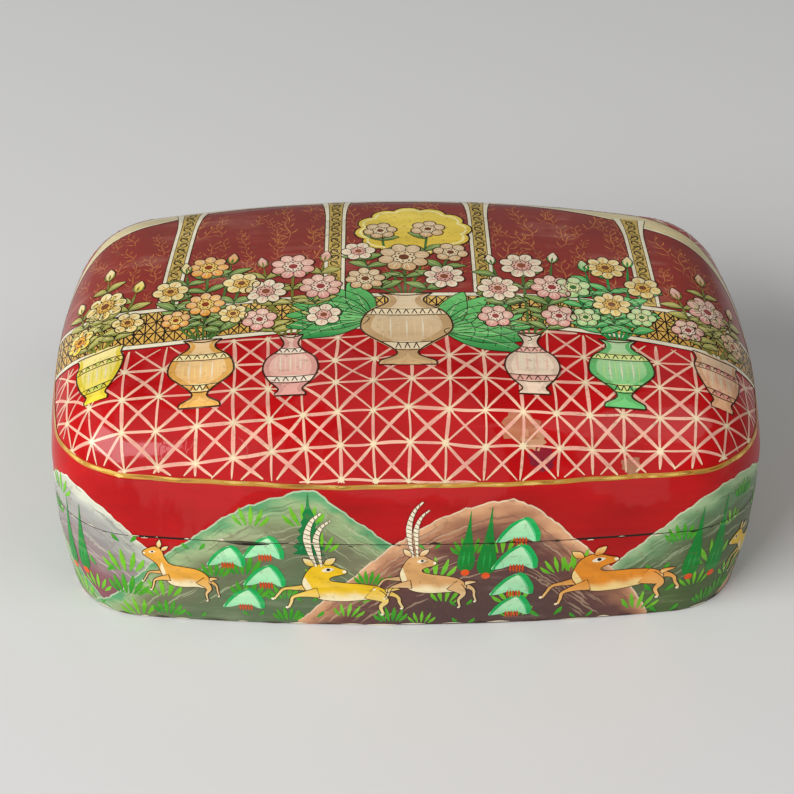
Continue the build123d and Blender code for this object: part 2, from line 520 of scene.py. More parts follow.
cut = parting / mm
way_round = girth / mm
saw_half, skin_lift, coat_lift = 0.14, 0.05, 0.025
both_halves = ("base", "lid")
frieze_paint = paint("frieze_paint", streaks=30.0)
grey_hill = (ink(204, 204, 184), ink(172, 174, 164), ink(150, 142, 138), ink(132, 76, 84))
green_hill = (ink(88, 158, 104), ink(160, 182, 130), ink(122, 122, 92), ink(92, 112, 78))
brown_hill = (ink(222, 168, 124), ink(184, 128, 94), ink(106, 66, 60), ink(88, 62, 58))
sage_hill = (ink(166, 192, 144), ink(108, 148, 102), ink(94, 106, 72), ink(78, 100, 54))
hills = [
    ([(-136, 14), (-126, 30), (-116, 41), (-106, 48), (-97, 47.6), (-89, 43.4), (-84, 39), (-80, 34),
      (-75, 28), (-68, 12), (-66, 1)], grey_hill),
    ([(-101, 0.2), (-89, 8.5), (-76, 24), (-63.5, 35), (-49, 47), (-35, 52.8), (-27.5, 54.2), (-18.5, 46.5),
      (-6, 35.4), (7, 22), (13, 1)], green_hill),
    ([(-34, 0.2), (-26, 10), (-17, 21), (-4, 35), (11.5, 46), (28, 50.8), (37.5, 46.5), (48.5, 35), (57, 26),
      (66, 15), (73, 1)], brown_hill),
    ([(40, 0.2), (47, 8), (54, 16), (61.5, 25), (73.5, 36.5), (84.5, 46), (95, 49.8), (106, 48.8), (117, 42),
      (127, 30), (134, 18), (138, 1)], sage_hill)]
front_end, far_end = 150.0, 496.0  # between these, the ends and the back are drawn by rule and by chance
turns = random.Random(11)
middle, kind = front_end, 0
while middle < far_end:
    reach = turns.uniform(46, 58)
    peak = turns.uniform(45, 53)
    crest = [(-1.0, 0.4), (-0.84, 9), (-0.60, 0.48 * peak), (-0.34, 0.78 * peak), (-0.06, peak),
             (0.20, 0.94 * peak), (0.46, 0.70 * peak), (0.74, 0.36 * peak), (0.90, 8), (1.0, 0.4)]
    flip = turns.choice((-1, 1))
    hills.append(([(middle + flip * a * reach, b) for a, b in crest][::flip],
                  (brown_hill, green_hill, grey_hill, sage_hill)[kind % 4]))
    kind += turns.choice((1, 2, 3))
    middle += reach * turns.uniform(1.02, 1.22)
crests = [smooth(crest, step=1.6) for crest, _ in hills]


def down_the_hill(line, tones):
    """The shading of a hill: pale along its crest, then darker in streaks that run with the slope."""
    def tint(x, y):
        depth = np.interp(x, line[:, 0], line[:, 1]) - y
        depth += 1.6 * sin(0.21 * x + 0.55 * y) + 1.1 * sin(0.47 * x - 0.9 * y + 2)
        depths = (1.4, 4.6, 15.0, 34.0)
        for low, high, a, b in zip(depths, depths[1:], tones, tones[1:]):
            if depth < high:
                return mixed(a, b, max(0.0, (depth - low) / (high - low)))
        return tones[-1]
    return tint


streaks_on_each = 104
frieze_ground = Layer()
for number, (line, (_, tones)) in enumerate(zip(crests, hills)):
    line = line.copy()
    line[:, 1] += 0.30 * np.sin(0.9 * line[:, 0]) + 0.22 * np.sin(2.3 * line[:, 0] + number)
    line = line[line[:, 1] > 0.35]
    closed = np.concatenate([line, [(line[-1][0], 0.3), (line[0][0], 0.3)]])
    coat = 0.9 * (number % 3)
    shading = down_the_hill(line, tones)
    fill(frieze_ground, closed, tones[1], coat=coat, step=1.7, shade=shading)
    stroke(frieze_ground, line, 0.55, mixed(tones[0], ink(240, 232, 206), 0.45), coat=coat + 0.45, taper=0.02,
           ready=True)
    for k in range(streaks_on_each):
        start = turns.randrange(max(1, len(line) - 14))
        run = line[start:start + turns.randrange(6, 16)]
        if len(run) < 4:
            continue
        run = run - (0, turns.uniform(2.0, 30.0))
        run = run[run[:, 1] > 0.8]
        if len(run) > 3:
            light, dark = mixed(tones[1], ink(232, 226, 190), 0.4), mixed(tones[2], ink(56, 48, 40), 0.35)
            stroke(frieze_ground, run, turns.uniform(0.25, 1.1),
                   mixed(shading(*run[len(run) // 2]), light if k % 2 else dark, 0.46), coat=coat + 0.3,
                   taper=0.45, ready=True)
lay(frieze_ground, "frieze_hills", wall_point, frieze_paint, both_halves)


# The grass tufts of the frieze
# Each tuft is a fan of dabs of a full round brush that point to one foot but don't meet there. They are set
# out over the hills by rule, each turned and sized a little by chance, as the painter's hand did.
def geometry_tree(name, inputs):
    """An empty Geometry Nodes tree with a geometry going in and out, and named inputs."""
    tree = bpy.data.node_groups.new(name, "GeometryNodeTree")
    tree.interface.new_socket("Geometry", in_out="INPUT", socket_type="NodeSocketGeometry")
    tree.interface.new_socket("Geometry", in_out="OUTPUT", socket_type="NodeSocketGeometry")
    for label, kind in inputs.items():
        tree.interface.new_socket(label, in_out="INPUT", socket_type=f"NodeSocket{kind}")
    return tree, put(tree, "NodeGroupInput").outputs


def close_tree(tree, geometry, finish):
    """Ends a tree: its instances are made real, and get their material."""
    real = put(tree, "GeometryNodeRealizeInstances", {0: geometry}).outputs[0]
    dressed = put(tree, "GeometryNodeSetMaterial", {"Geometry": real, "Material": finish}).outputs[0]
    tree.links.new(dressed, put(tree, "NodeGroupOutput").inputs[0])
    return tree


def named(tree, label, kind="FLOAT"):
    """The value that each point carries under a name."""
    return put(tree, "GeometryNodeInputNamedAttribute", {"Name": label}, data_type=kind).outputs[0]


def run_tree(layer, source, tree, coat, values):
    """Runs a tree on an object with its named values, and takes the flat mesh that it makes into a layer."""
    modifier = source.modifiers.new("made", "NODES")
    modifier.node_group = tree
    for item in tree.interface.items_tree:
        if item.in_out == "INPUT" and item.name in values:
            modifier[item.identifier] = values[item.name]
    made = bpy.data.meshes.new_from_object(source.evaluated_get(bpy.context.evaluated_depsgraph_get()))
    source.modifiers.remove(modifier)
    bpy.data.objects.remove(source)
    tints = [tuple(v.vector) for v in made.attributes["tint"].data]
    layer.add([v.co[:2] for v in made.vertices], coat, tints, [tuple(f.vertices) for f in made.polygons])
    bpy.data.meshes.remove(made)


def flat_object(points, edges=(), faces=(), **attributes):
    """A loose object of flat points for a tree to work on, with named values at each point."""
    mesh = bpy.data.meshes.new("flat")
    mesh.from_pydata([(x, y, 0) for x, y in points], edges, faces)
    for label, values in attributes.items():
        kind, field = ("FLOAT_VECTOR", "vector") if label == "tint" else ("FLOAT", "value")
        made = mesh.attributes.new(label, kind, "POINT")
        made.data.foreach_set(field, np.asarray(values, float).ravel())
    made = bpy.data.objects.new("flat", mesh)
    bpy.context.collection.objects.link(made)
    return made


def scatter_tree():
    """Sets a motif on each point, turned and sized by chance about the point's own turn and size."""
    tree, given = geometry_tree("set_out_by_hand", {"Motif": "Object", "Unevenness": "Float", "Lean": "Float",
                                                    "Seed": "Int", "Finish": "Material"})

    def by_chance(low, high, seed):
        limits = {2: low, 3: high, "Seed": seed}
        return put(tree, "FunctionNodeRandomValue", limits, data_type="FLOAT").outputs[1]

    motif = put(tree, "GeometryNodeObjectInfo", {"Object": given["Motif"]}).outputs["Geometry"]
    least, most = (worked(tree, way, 1.0, given["Unevenness"]) for way in ("SUBTRACT", "ADD"))
    scale = worked(tree, "MULTIPLY", named(tree, "size"), by_chance(least, most, given["Seed"]))
    lean = by_chance(worked(tree, "MULTIPLY", given["Lean"], -1.0), given["Lean"],
                     worked(tree, "ADD", given["Seed"], 7.0))
    spin = put(tree, "ShaderNodeCombineXYZ", {2: worked(tree, "ADD", named(tree, "turn"), lean)}).outputs[0]
    stretch = put(tree, "ShaderNodeCombineXYZ", {0: scale, 1: scale, 2: 1.0}).outputs[0]
    points = put(tree, "GeometryNodeMeshToPoints", {"Mesh": given["Geometry"]}).outputs[0]
    many = put(tree, "GeometryNodeInstanceOnPoints", {"Points": points, "Instance": motif, "Rotation": spin,
                                                      "Scale": stretch}).outputs[0]
    return close_tree(tree, many, given["Finish"])


set_out_by_hand = scatter_tree()


def set_out(layer, draw, spots, finish, coat, seed, lean=0.25):
    """Sets a motif, drawn flat about the origin, out on spots of (x, y, size, turn)."""
    drawn = Layer()
    draw(drawn)
    points, tints = [p[:2] for p in drawn.points], [tint[:3] for tint in drawn.tints]
    motif = flat_object(points, faces=drawn.faces, tint=tints)
    spots = np.asarray(spots, float)
    run_tree(layer, flat_object(spots[:, :2], size=spots[:, 2], turn=spots[:, 3]), set_out_by_hand, coat,
             {"Motif": motif, "Unevenness": 0.2, "Lean": lean, "Seed": seed, "Finish": finish})
    bpy.data.objects.remove(motif)


def tuft(blades, reach, dark, light):
    """How to draw a tuft: round-ended dabs that fan out from one foot, the middle one tallest."""
    def draw(layer):
        for k in range(blades):
            share = 2 * k / (blades - 1) - 1
            way = np.array([sin(0.62 * share), cos(0.62 * share)])
            tall = reach * (1 - 0.34 * share * share)
            foot = way * reach * 0.10 + (share * reach * 0.26, 0)
            stroke(layer, [foot, foot + way * tall * 0.45 + (share * 0.3, 0), foot + way * tall * 0.9], 1.5,
                   mixed(dark, light, (k * 0.37) % 1.0), taper=0.42, to=light, tip=0.26)
    return draw


def top_of_hills(along):
    """The highest crest over a place along the wall."""
    places = [(line, along + turn) for line in crests for turn in (0, way_round, -way_round)]
    return max([0.0] + [float(np.interp(x, *line.T)) for line, x in places
                        if line[:, 0].min() <= x <= line[:, 0].max()])


chance = random.Random(5)
spots = [[], [], []]
along, tuft_step = -130.0, 11.5
while along < far_end + 4:
    for level in (0.8, 9.0, 19.0, 30.0, 40.0):
        x = along + chance.uniform(-4.0, 4.0)
        y = level + chance.uniform(-0.6, 3.0)
        if y < top_of_hills(x) - 3.0 and chance.random() < (0.98 if level < 2 else 0.5):
            spots[chance.choice((0, 0, 1, 2))].append((x, y, chance.uniform(0.75, 1.0), 0.0))
    along += tuft_step
leaf_green, moss_green, deep_green = ink(122, 196, 40), ink(76, 168, 26), ink(22, 140, 36)
frieze_green = Layer()
set_out(frieze_green, tuft(5, 9.0, moss_green, leaf_green), spots[0], frieze_paint, 3.0, seed=3)
set_out(frieze_green, tuft(6, 8.0, deep_green, moss_green), spots[1], frieze_paint, 3.2, seed=8)
set_out(frieze_green, tuft(2, 6.4, deep_green, moss_green), spots[2], frieze_paint, 3.4, seed=9, lean=0.1)


# The trees and the tents of the frieze
# Bright green cypresses drawn as one drop with a dot of orange under each, a jagged fir, and little tents of
# mint green with a broad green edge and a red-brown fringe, in threes and fours.
def round_line(x, y, reach, turn=0.0, flat=1.0):
    """A closed line round a place, by its reach in even steps of angle."""
    angles = [k * tau / len(reach) + turn for k in range(len(reach))]
    return np.array([(x + r * cos(angle), y + flat * r * sin(angle)) for r, angle in zip(reach, angles)])


def dot(layer, x, y, radius, tint, coat):
    """A round dab."""
    fill(layer, round_line(x, y, [radius] * 14), tint, coat=coat)


def cypress(layer, x, y, high, wide, lean=0.0):
    """A cypress: one drop that is widest near its foot and runs up to a long thin tip."""
    half = [(0.0, 0.24), (0.06, 0.44), (0.16, 0.5), (0.30, 0.42), (0.48, 0.28), (0.66, 0.15), (0.84, 0.06)]
    right, left = ([(x + way * wide * b + lean * a, y + high * a) for a, b in half] for way in (1, -1))
    line = smooth([*right, (x + lean, y + high), *left[::-1]], closed=True, step=0.9)
    fill(layer, line, ink(8, 126, 40), ink(16, 142, 54), coat=4)
    for off in (-0.16 * wide, 0.16 * wide):
        streak = [(x + off, y + high * 0.08), (x + 0.875 * off + lean * 0.3, y + high * 0.34)]
        stroke(layer, streak, 0.6, ink(30, 158, 66), coat=4.4, taper=0.5)
    dot(layer, x, y - 0.9, 1.3, ink(228, 84, 24), coat=4.6)


def fir(layer, x, y, high, wide):
    """A fir: one jagged patch under a long bare tip."""
    right = []
    for k in range(6):
        out, up = wide / 2 * (1 - 0.13 * k), 0.13 * k
        right += [(x + out * (1 + 0.10 * (k % 2)), y + high * up), (x + out * 0.66, y + high * (up + 0.0702))]
    left = [(2 * x - a + 0.3, b + 0.5) for a, b in right[::-1]]
    line = [*right, (x + 0.5, y + high * 0.8), (x, y + high), (x - 0.5, y + high * 0.8), *left]
    fill(layer, line, ink(8, 112, 58), ink(14, 132, 62), coat=4, step=1.5)
    for k in range(9):
        at = (x + chance.uniform(-0.3, 0.3) * wide, y + high * chance.uniform(0.05, 0.6))
        stroke(layer, [at, (at[0] + 0.6, at[1] + 1.8)], 0.5, ink(30, 150, 80), coat=4.4, taper=0.5)


def tent(layer, x, y, wide, high):
    """A little tent with its peak to one side, a long slope in front, and a fringe under its open side."""
    def placed(*shares):
        return [(x + wide * a, y + high * b) for a, b in shares]

    front = placed((-0.54, 0.0), (-0.48, 0.20), (-0.37, 0.46), (-0.20, 0.74), (-0.02, 0.93), (0.12, 1.0))
    behind = placed((0.24, 0.92), (0.36, 0.66), (0.46, 0.32), (0.49, 0.0))
    under = placed((0.36, 0.0), (0.22, 0.12), (-0.08, 0.14), (-0.32, 0.02))
    fill(layer, smooth([*front, *behind, *under], closed=True, step=0.8), ink(150, 226, 170),
         ink(196, 238, 190), coat=4)
    back_slope = np.array([front[-1], *behind])
    for line, width, tint, coat, taper, tip in (
            (np.array(front) + (wide * 0.035, -high * 0.03), 0.10, ink(18, 172, 84), 4.4, 0.3, 0.4),
            (back_slope, 0.17, ink(18, 172, 84), 4.7, 0.25, 0.5),
            (back_slope - (wide * 0.06, high * 0.02), 0.04, ink(96, 208, 140), 4.9, 0.4, 0.12)):
        stroke(layer, line, wide * width, tint, coat=coat, taper=taper, tip=tip)
    for k in range(5):
        at = x + wide * (0.072 * k - 0.10)
        stroke(layer, [(at, y + high * 0.20), (at + 0.1, y - high * 0.14)], 0.62, ink(206, 76, 22), coat=5.0,
               taper=0.3, tip=0.4)


frieze_trees = Layer()
for x, y, high, wide, lean in (
        (-99, 15.5, 26, 4.6, 1.0), (-105, 14, 27, 4.2, 1.0), (16.5, 24.5, 23, 5.2, 1.2),
        (22.6, 23, 26, 5.8, 1.2), (84, 17, 26.5, 5.6, 2.4), (92, 16, 29, 5.8, 2.6), (119, 14, 24, 4.4, 1.0)):
    cypress(frieze_trees, x, y, high, wide, lean)
fir(frieze_trees, -29.2, 30.5, 23.5, 10)
for x, y, wide in ((-53.5, 25.4, 10.6), (-42.5, 29.0, 11.4), (-42.5, 17.6, 11.6), (-49, 7.4, 11.6),
                   (31.6, 35.2, 12.0), (31, 24.6, 12.6), (30.6, 13.6, 12.0), (30.6, 4.2, 11.8)):
    tent(frieze_trees, x, y, wide, wide * 0.74)
along = front_end
while along < far_end + 4:
    top = top_of_hills(along)
    kind = chance.randrange(3)
    if kind == 0:
        for x in (along, along + 6.5):
            cypress(frieze_trees, x, 20 + chance.uniform(-2, 2), min(top - 19, 26) + 2, 5.4, 1.4)
    elif kind == 1:
        fir(frieze_trees, along, 27, max(12, top - 30), 9.5)
    else:
        for k in range(chance.choice((2, 3))):
            tent(frieze_trees, along + 1.2 * k, 7.5 + 10.4 * k, 11.4, 7.4)
    along += chance.uniform(24, 34)


# The animals of the frieze
# Deer and antelopes at full gallop, each one patch shaded from a cream belly to a warm back, with bent legs
# and ringed horns, and a thin brown line drawn round with the tip of the brush.
def square_to(way):
    """The unit step to the left of a way."""
    return np.array([-way[1], way[0]]) / max(np.hypot(*way), 1e-6)


def leaf_line(foot, tip, belly, bend=0.0):
    """The closed line of an ear or a leaf between two points: belly is its width, bend how far it curves."""
    foot, tip = np.asarray(foot, float), np.asarray(tip, float)
    way = tip - foot
    side = square_to(way)

    def edge(*places):
        return [foot + way * share + side * (belly / 2 * width + bend * 4 * share * (1 - share))
                for share, width in places]

    return smooth([foot, *edge((0.22, 0.78), (0.5, 1.0), (0.78, 0.62)), tip,
                   *edge((0.78, -0.62), (0.5, -1.0), (0.22, -0.78))], closed=True, step=0.8)


def draw_line(layer, line, width, tint, coat):
    """An even line through points that are ready."""
    stroke(layer, line, width, tint, coat=coat, taper=0, ready=True)


def draw_round(layer, line, width, tint, coat):
    """An even line round a closed shape."""
    draw_line(layer, np.concatenate([line, line[:1]]), width, tint, coat)


ahead_body = [(11.2, 6.4), (9.0, 9.4), (7.0, 12.2), (3.6, 14.0), (0.4, 15.5), (0.3, 16.8), (3.4, 18.3),
              (6.8, 19.0), (9.6, 17.8), (11.4, 14.6), (14.2, 12.6), (20.0, 12.1), (27.0, 11.5), (32.0, 9.6),
              (34.2, 6.4), (31.8, 4.0), (27.0, 4.2), (20.6, 3.7), (14.6, 4.1)]
ahead_head = (5.0, 16.9), (0.9, 16.1), (7.6, 18.8), ((8.2, 18.4), (8.6, 21.8)), ((9.4, 17.6), (13.0, 19.6))
back_body = [(9.6, 8.2), (8.8, 10.8), (9.8, 14.0), (11.8, 16.6), (14.8, 17.8), (17.8, 17.2), (20.0, 16.2),
             (21.8, 15.6), (22.2, 14.6), (20.8, 13.9), (18.4, 13.3), (17.0, 12.5), (17.6, 11.6), (21.0, 11.0),
             (27.0, 10.4), (31.8, 9.2), (34.2, 6.8), (32.4, 4.6), (27.4, 4.4), (21.0, 3.9), (15.0, 4.4),
             (11.4, 6.0)]
back_head = ((16.7, 15.7), (21.4, 15.0), (13.6, 17.2), ((12.6, 17.0), (9.4, 19.6)),
             ((15.6, 17.4), (19.0, 19.8)))


def deer(layer, x, y, length, back, belly, facing=-1, horns=0.0, look_back=False, rise=0.0, tall=1.3):
    """A galloping deer: x is its middle, y the ground, and length goes from hoof to hoof. It rears by an
    angle in radians, rise, and tall stretches it upwards."""
    line_tint = ink(62, 34, 16)
    lean_cos, lean_sin = cos(rise), sin(rise)
    scale = length / 38

    def at(points):
        """From the animal's own square, nose to the left, to its place on the wall."""
        made = []
        for a, b in points:
            a, b = a - 19, (b + 2) * tall - 8
            a, b = a * lean_cos + b * lean_sin, -a * lean_sin + b * lean_cos
            made.append((x - facing * a * scale, y + (b + 8) * scale))
        return made

    def patch(points):
        return smooth(at(points), closed=True, step=0.7)

    def outlined(shape, low, high, coat, shade=None):
        """A patch with a thin dark line round it."""
        fill(layer, shape, low, high, coat=coat, step=1.3, shade=shade)
        draw_round(layer, shape, 0.26, line_tint, coat + 0.35)

    def limb(middle, widths):
        """A leg round a middle line, with its widths from the thigh down to the hoof."""
        line = smooth(at(middle), step=0.7)
        half = np.interp(np.linspace(0, 1, len(line)), np.linspace(0, 1, len(widths)), widths) * scale / 2
        side = sideways(line) * half[:, None]
        return np.concatenate([line + side, (line - side)[::-1]])

    far, inner = mixed(back, line_tint, 0.12), mixed(back, belly, 0.7)
    hoof = mixed(belly, ink(255, 248, 230), 0.5)
    fore_far, fore_near, hind_far, hind_near = (limb(*line_and_widths) for line_and_widths in (
        ([(12.5, 9.4), (7.5, 9.0), (3.4, 8.6), (1.6, 6.6), (0.2, 4.6)], (4.2, 2.4, 1.3, 1.05, 0.9)),
        ([(13.4, 7.2), (9.2, 6.6), (5.9, 5.5), (5.2, 3.4), (4.3, 1.3)], (4.6, 2.8, 1.4, 1.1, 0.95)),
        ([(30.6, 7.0), (34.8, 6.6), (37.0, 5.2), (37.4, 3.2), (38.4, 1.0)], (5.0, 2.6, 1.4, 1.1, 0.95)),
        ([(28.6, 7.2), (31.8, 5.4), (33.2, 3.6), (31.8, 1.6), (32.6, -1.4)], (6.0, 4.4, 2.2, 1.3, 1.0))))
    outlined(fore_far, inner, far, 4.8)
    outlined(hind_far, inner, far, 4.8)
    body = back_body if look_back else ahead_body
    eye, muzzle, root, *ears = back_head if look_back else ahead_head
    middle, level = at([(20, 6.4)])[0]

    def coat_of_hair(a, b):
        """Cream under the belly and on the rump, warm over the back, with a few darker smudges."""
        rest = level + (a - middle) * lean_sin * facing
        share = (b - rest) / (1.8 * scale * tall) + 0.5 + 0.25 * sin(0.9 * a)
        warm = mixed(back, line_tint, 0.12 * max(0.0, sin(0.6 * a + 0.8 * b)))
        return mixed(belly, warm, min(1.0, max(0.0, share)))

    outlined(patch(body), belly, back, 5.3, coat_of_hair)
    outlined(fore_near, inner, back, 5.8)
    fill(layer, hind_near, inner, back, coat=5.8, step=1.3)
    draw_line(layer, np.concatenate([hind_near[3:], hind_near[:1]]), 0.26, line_tint, 6.15)
    outlined(patch([(33.4, 8.6), (35.6, 8.9), (37.8, 8.4), (35.4, 7.7), (33.6, 7.2)]), belly, back, 5.9)
    breast = patch([(8.9, 10.8), (9.6, 13.0), (10.4, 11.6), (11.6, 8.8), (11.0, 7.2), (9.8, 8.4)])
    fill(layer, breast, belly, coat=5.7)
    for leg in (fore_far, fore_near, hind_far, hind_near):
        dot(layer, *leg[len(leg) // 2], 0.5 * scale, hoof, coat=6.3)
    for ear in ears:
        shape = leaf_line(*at(ear), 2.5 * scale)
        fill(layer, shape, back, belly, coat=6.2)
        draw_round(layer, shape, 0.24, line_tint, 6.6)
    spot, nose = at((eye, muzzle))
    lids = leaf_line((spot[0] - 2.0 * scale, spot[1] - 0.5 * scale),
                     (spot[0] + 1.8 * scale, spot[1] + 0.3 * scale), 1.7 * scale)
    fill(layer, lids, ink(244, 232, 204), coat=6.2)
    dot(layer, *spot, 0.6 * scale, ink(16, 10, 8), coat=6.9)
    dot(layer, *nose, 0.6 * scale, hoof, coat=6.2)
    for sweep, size in ((-0.6, 1.0), (2.0, 0.86)) if horns else ():
        high = horns / tall * size
        bends = [(root[0] + a + sweep * b, root[1] + c * high + d) for a, b, c, d in (
            (0, 0.6, 0, -0.4), (-1.5, 1, 0.28, 0), (-2.1, 1, 0.58, 0), (-0.6, 1, 0.84, 0), (2.2, 1, 1, 0))]
        curve = smooth(at(bends), step=0.55)
        for width, tint, coat, tip in ((2.9, line_tint, 6.3, 0.30), (2.5, ink(242, 230, 198), 6.6, 0.26)):
            stroke(layer, curve, width * scale * size, tint, coat=coat, taper=0.62, ready=True, tip=tip)
        for j in range(2, len(curve) - 2, 3):
            place, way = curve[j], curve[j + 1] - curve[j - 1]
            side = square_to(way) * 0.95 * scale
            side *= 0.35 + 0.65 * min(1, min(j, len(curve) - j) / (0.5 * len(curve)) * 1.3)
            stroke(layer, [place - side, place + side + way * 0.6], 0.24, ink(96, 60, 34), coat=7.0, taper=0)


frieze_animals = Layer()
orange, yellow, tan, fur_white = ink(232, 142, 36), ink(240, 194, 26), ink(220, 166, 104), ink(246, 228, 180)
deer(frieze_animals, -67.5, 9.5, 22.5, ink(238, 170, 60), fur_white, rise=0.05, tall=1.75)
deer(frieze_animals, -21, 4.6, 38, yellow, fur_white, horns=20, look_back=True, rise=-0.02, tall=1.16)
deer(frieze_animals, 5.0, 8.4, 30, tan, fur_white, horns=26, look_back=True, rise=0.05, tall=1.45)
deer(frieze_animals, 60, 6.0, 41, orange, ink(248, 214, 140), look_back=True, rise=-0.12, tall=1.10)
deer(frieze_animals, 112, 8, 27, yellow, fur_white, rise=-0.06)
herd = ((orange, 0.0), (tan, 22.0), (yellow, 18.0), (orange, 0.0), (tan, 0.0))
along, number = front_end + 2, 0
while along < far_end - 4:
    hair, horn = herd[number % 5]
    deer(frieze_animals, along, 4 + chance.uniform(0, 5), chance.uniform(28, 36), hair, fur_white,
         facing=-1 if number % 4 else 1, horns=horn, look_back=number % 3 == 1,
         rise=chance.uniform(-0.1, 0.15))
    number += 1
    along += chance.uniform(38, 48)
lay(frieze_green, "frieze_grass", wall_point, frieze_paint, both_halves)
lay(frieze_trees, "frieze_trees_and_tents", wall_point, frieze_paint, both_halves)
lay(frieze_animals, "frieze_animals", wall_point, frieze_paint, both_halves)


# The wear and the painted shade at the saw cut and at the foot
# Where the form was sawn, and where the box has stood and been slid about, the paint has flaked off the arris
# in short runs down to the pale ground. Beside them run broken lines of painted shade: near black in the gap
# at the saw cut, and brown at the foot where the box meets the floor.
wear_paint = paint("wear_paint", streaks=60.0, gloss=0.4)
wear = Layer()
bare, gap_shade, foot_shade = ink(226, 214, 184), ink(18, 13, 9), ink(70, 56, 40)
along = -way_round / 2
while along < way_round / 2:
    level = cut + chance.uniform(-0.5, 0.5)
    run = chance.uniform(0.6, 3.4)
    # Some runs are chips down to the bare ground, the rest dashes of painted shade in the gap.
    for k in range(chance.choice((1, 1, 2))):
        middle = (along + run * 0.5, level + chance.uniform(-0.3, 0.3))
        stroke(wear, [(along, level), middle, (along + run, level)], chance.uniform(0.25, 0.7),
               bare if chance.random() < 0.4 else gap_shade, coat=7.2 + 0.3 * k, taper=0.5, tip=0.3)
    along += run + chance.uniform(0.3, 9.0)
# A thick dab of painted shadow where the gap at the saw cut opens wider, with a chip beside it.
stroke(wear, [(-54.5, 35.1), (-48, 34.7), (-40.5, 34.6)], 1.5, gap_shade, coat=7.5, taper=0.35)
stroke(wear, [(-55.5, 35.9), (-53.5, 35.6)], 0.8, bare, coat=7.7, taper=0.4)
along = -way_round / 2
while along < way_round / 2:
    run = chance.uniform(2.0, 9.0)
    level = chance.uniform(0.5, 0.9)
    middle = (along + run * 0.5, level + chance.uniform(-0.1, 0.4))
    # Some runs are chips down to the bare ground, the rest dashes of painted contact shade at the foot.
    stroke(wear, [(along, level), middle, (along + run, level)], chance.uniform(0.35, 0.8),
           bare if chance.random() < 0.45 else foot_shade, coat=7.2, taper=0.4, tip=0.2)
    along += run + chance.uniform(0.5, 5.0)
lay(wear, "worn_arris", wall_point, wear_paint, both_halves)


# The lattice and the gold line
# Cream-pink strokes of one brush, pulled from knot to knot in squares with both diagonals, so that each knot
# gets paler where eight strokes cross. A line of gold paint closes the lattice all round the lid.
def unrolled(x, y):
    """The way round and the inset from the outline of a place on the lid's flat drawing."""
    ax, ay = np.abs(x), np.abs(y)

    def seen_from(centre, radius):
        return np.arctan2(ay - centre[1], ax - centre[0]), radius - np.hypot(ax - centre[0], ay - centre[1])

    angle, off_corner = seen_from(corner, corner_round)
    side_angle, off_side = seen_from(side_centre, side_arc)
    end_angle, off_end = seen_from(end_centre, end_arc)
    in_corner = (angle > end_turn) & (angle < side_turn) & ((ax > corner[0]) | (ay > corner[1]))
    inset = np.where(in_corner, off_corner, np.minimum(off_side, off_end))
    run = np.where(in_corner, side_run + (side_turn - angle) * corner_round,
                   np.where(off_side < off_end, (pi / 2 - side_angle) * side_arc,
                            side_run + corner_run + (end_turn - end_angle) * end_arc))
    turn = np.where(y < 0, np.where(x >= 0, 0, 3), np.where(x >= 0, 1, 2))
    return np.where(turn % 2 == 1, (turn + 1) * quarter - run, turn * quarter + run), inset


def up_the_roll(x, y):
    """The way round a place on the flat drawing, how far up the roll it is, and if it is on the crown."""
    along, inset = unrolled(x, y)
    _, _, start, end = roll_at(along)
    edge = shoulder_round * (1 - np.cos(end))
    return along, start + shoulder_round * end - (edge - inset), inset >= edge


def lid_point(x, y):
    """Points and outward directions of the lid at a place on its flat drawing."""
    along, up, on_crown = up_the_roll(x, y)
    return tuple(np.where(on_crown[..., None], high, low)
                 for high, low in zip(crown_point(x, y), wall_point(along, up)))


def height_on_lid(x, y):
    """How far up the wall and over the roll a place on the flat drawing is, in millimetres."""
    return up_the_roll(np.asarray(x, float) * mm, np.asarray(y, float) * mm)[1] / mm


def over_gold(line):
    """What of a line on the flat drawing is not below the gold line."""
    return line[height_on_lid(*line.T) > gold_height - 0.3]


def brush_tree():
    """Pulls one brush stroke along each line: it swells from a thin tip, and its tint can change midway."""
    tree, given = geometry_tree("pull_strokes", {
        "Width": "Float", "Tip": "Float", "Taper": "Float", "Midway tint": "Vector", "Midway share": "Float",
        "Finish": "Material"})
    lines = put(tree, "GeometryNodeMeshToCurve", {"Mesh": given["Geometry"]}).outputs[0]
    share = put(tree, "GeometryNodeSplineParameter").outputs["Factor"]
    near = worked(tree, "MINIMUM", share, worked(tree, "SUBTRACT", 1.0, share))
    swell = spread(tree, near, 0.0, given["Taper"], given["Tip"], 1.0)
    width = worked(tree, "MULTIPLY", worked(tree, "MULTIPLY", given["Width"], swell), named(tree, "broad"))
    midway = spread(tree, near, 0.06, 0.32, 0.0, given["Midway share"])
    shaded = put(tree, "ShaderNodeMix", {0: midway, 4: named(tree, "tint", "FLOAT_VECTOR"),
                                         5: given["Midway tint"]}, data_type="VECTOR").outputs[1]
    tinted = put(tree, "GeometryNodeStoreNamedAttribute", {
        "Geometry": lines, "Name": "tint", "Value": shaded}, data_type="FLOAT_VECTOR", domain="POINT")
    flat = put(tree, "GeometryNodeSetCurveNormal", {"Curve": tinted.outputs[0]}, mode="Z_UP").outputs[0]
    bristles = put(tree, "GeometryNodeCurvePrimitiveLine", {"Start": (-0.5, 0, 0), "End": (0.5, 0, 0)})
    ribbon = put(tree, "GeometryNodeCurveToMesh", {"Curve": flat, "Profile Curve": bristles.outputs[0],
                                                   "Scale": width})
    return close_tree(tree, ribbon.outputs[0], given["Finish"])


pull_strokes = brush_tree()


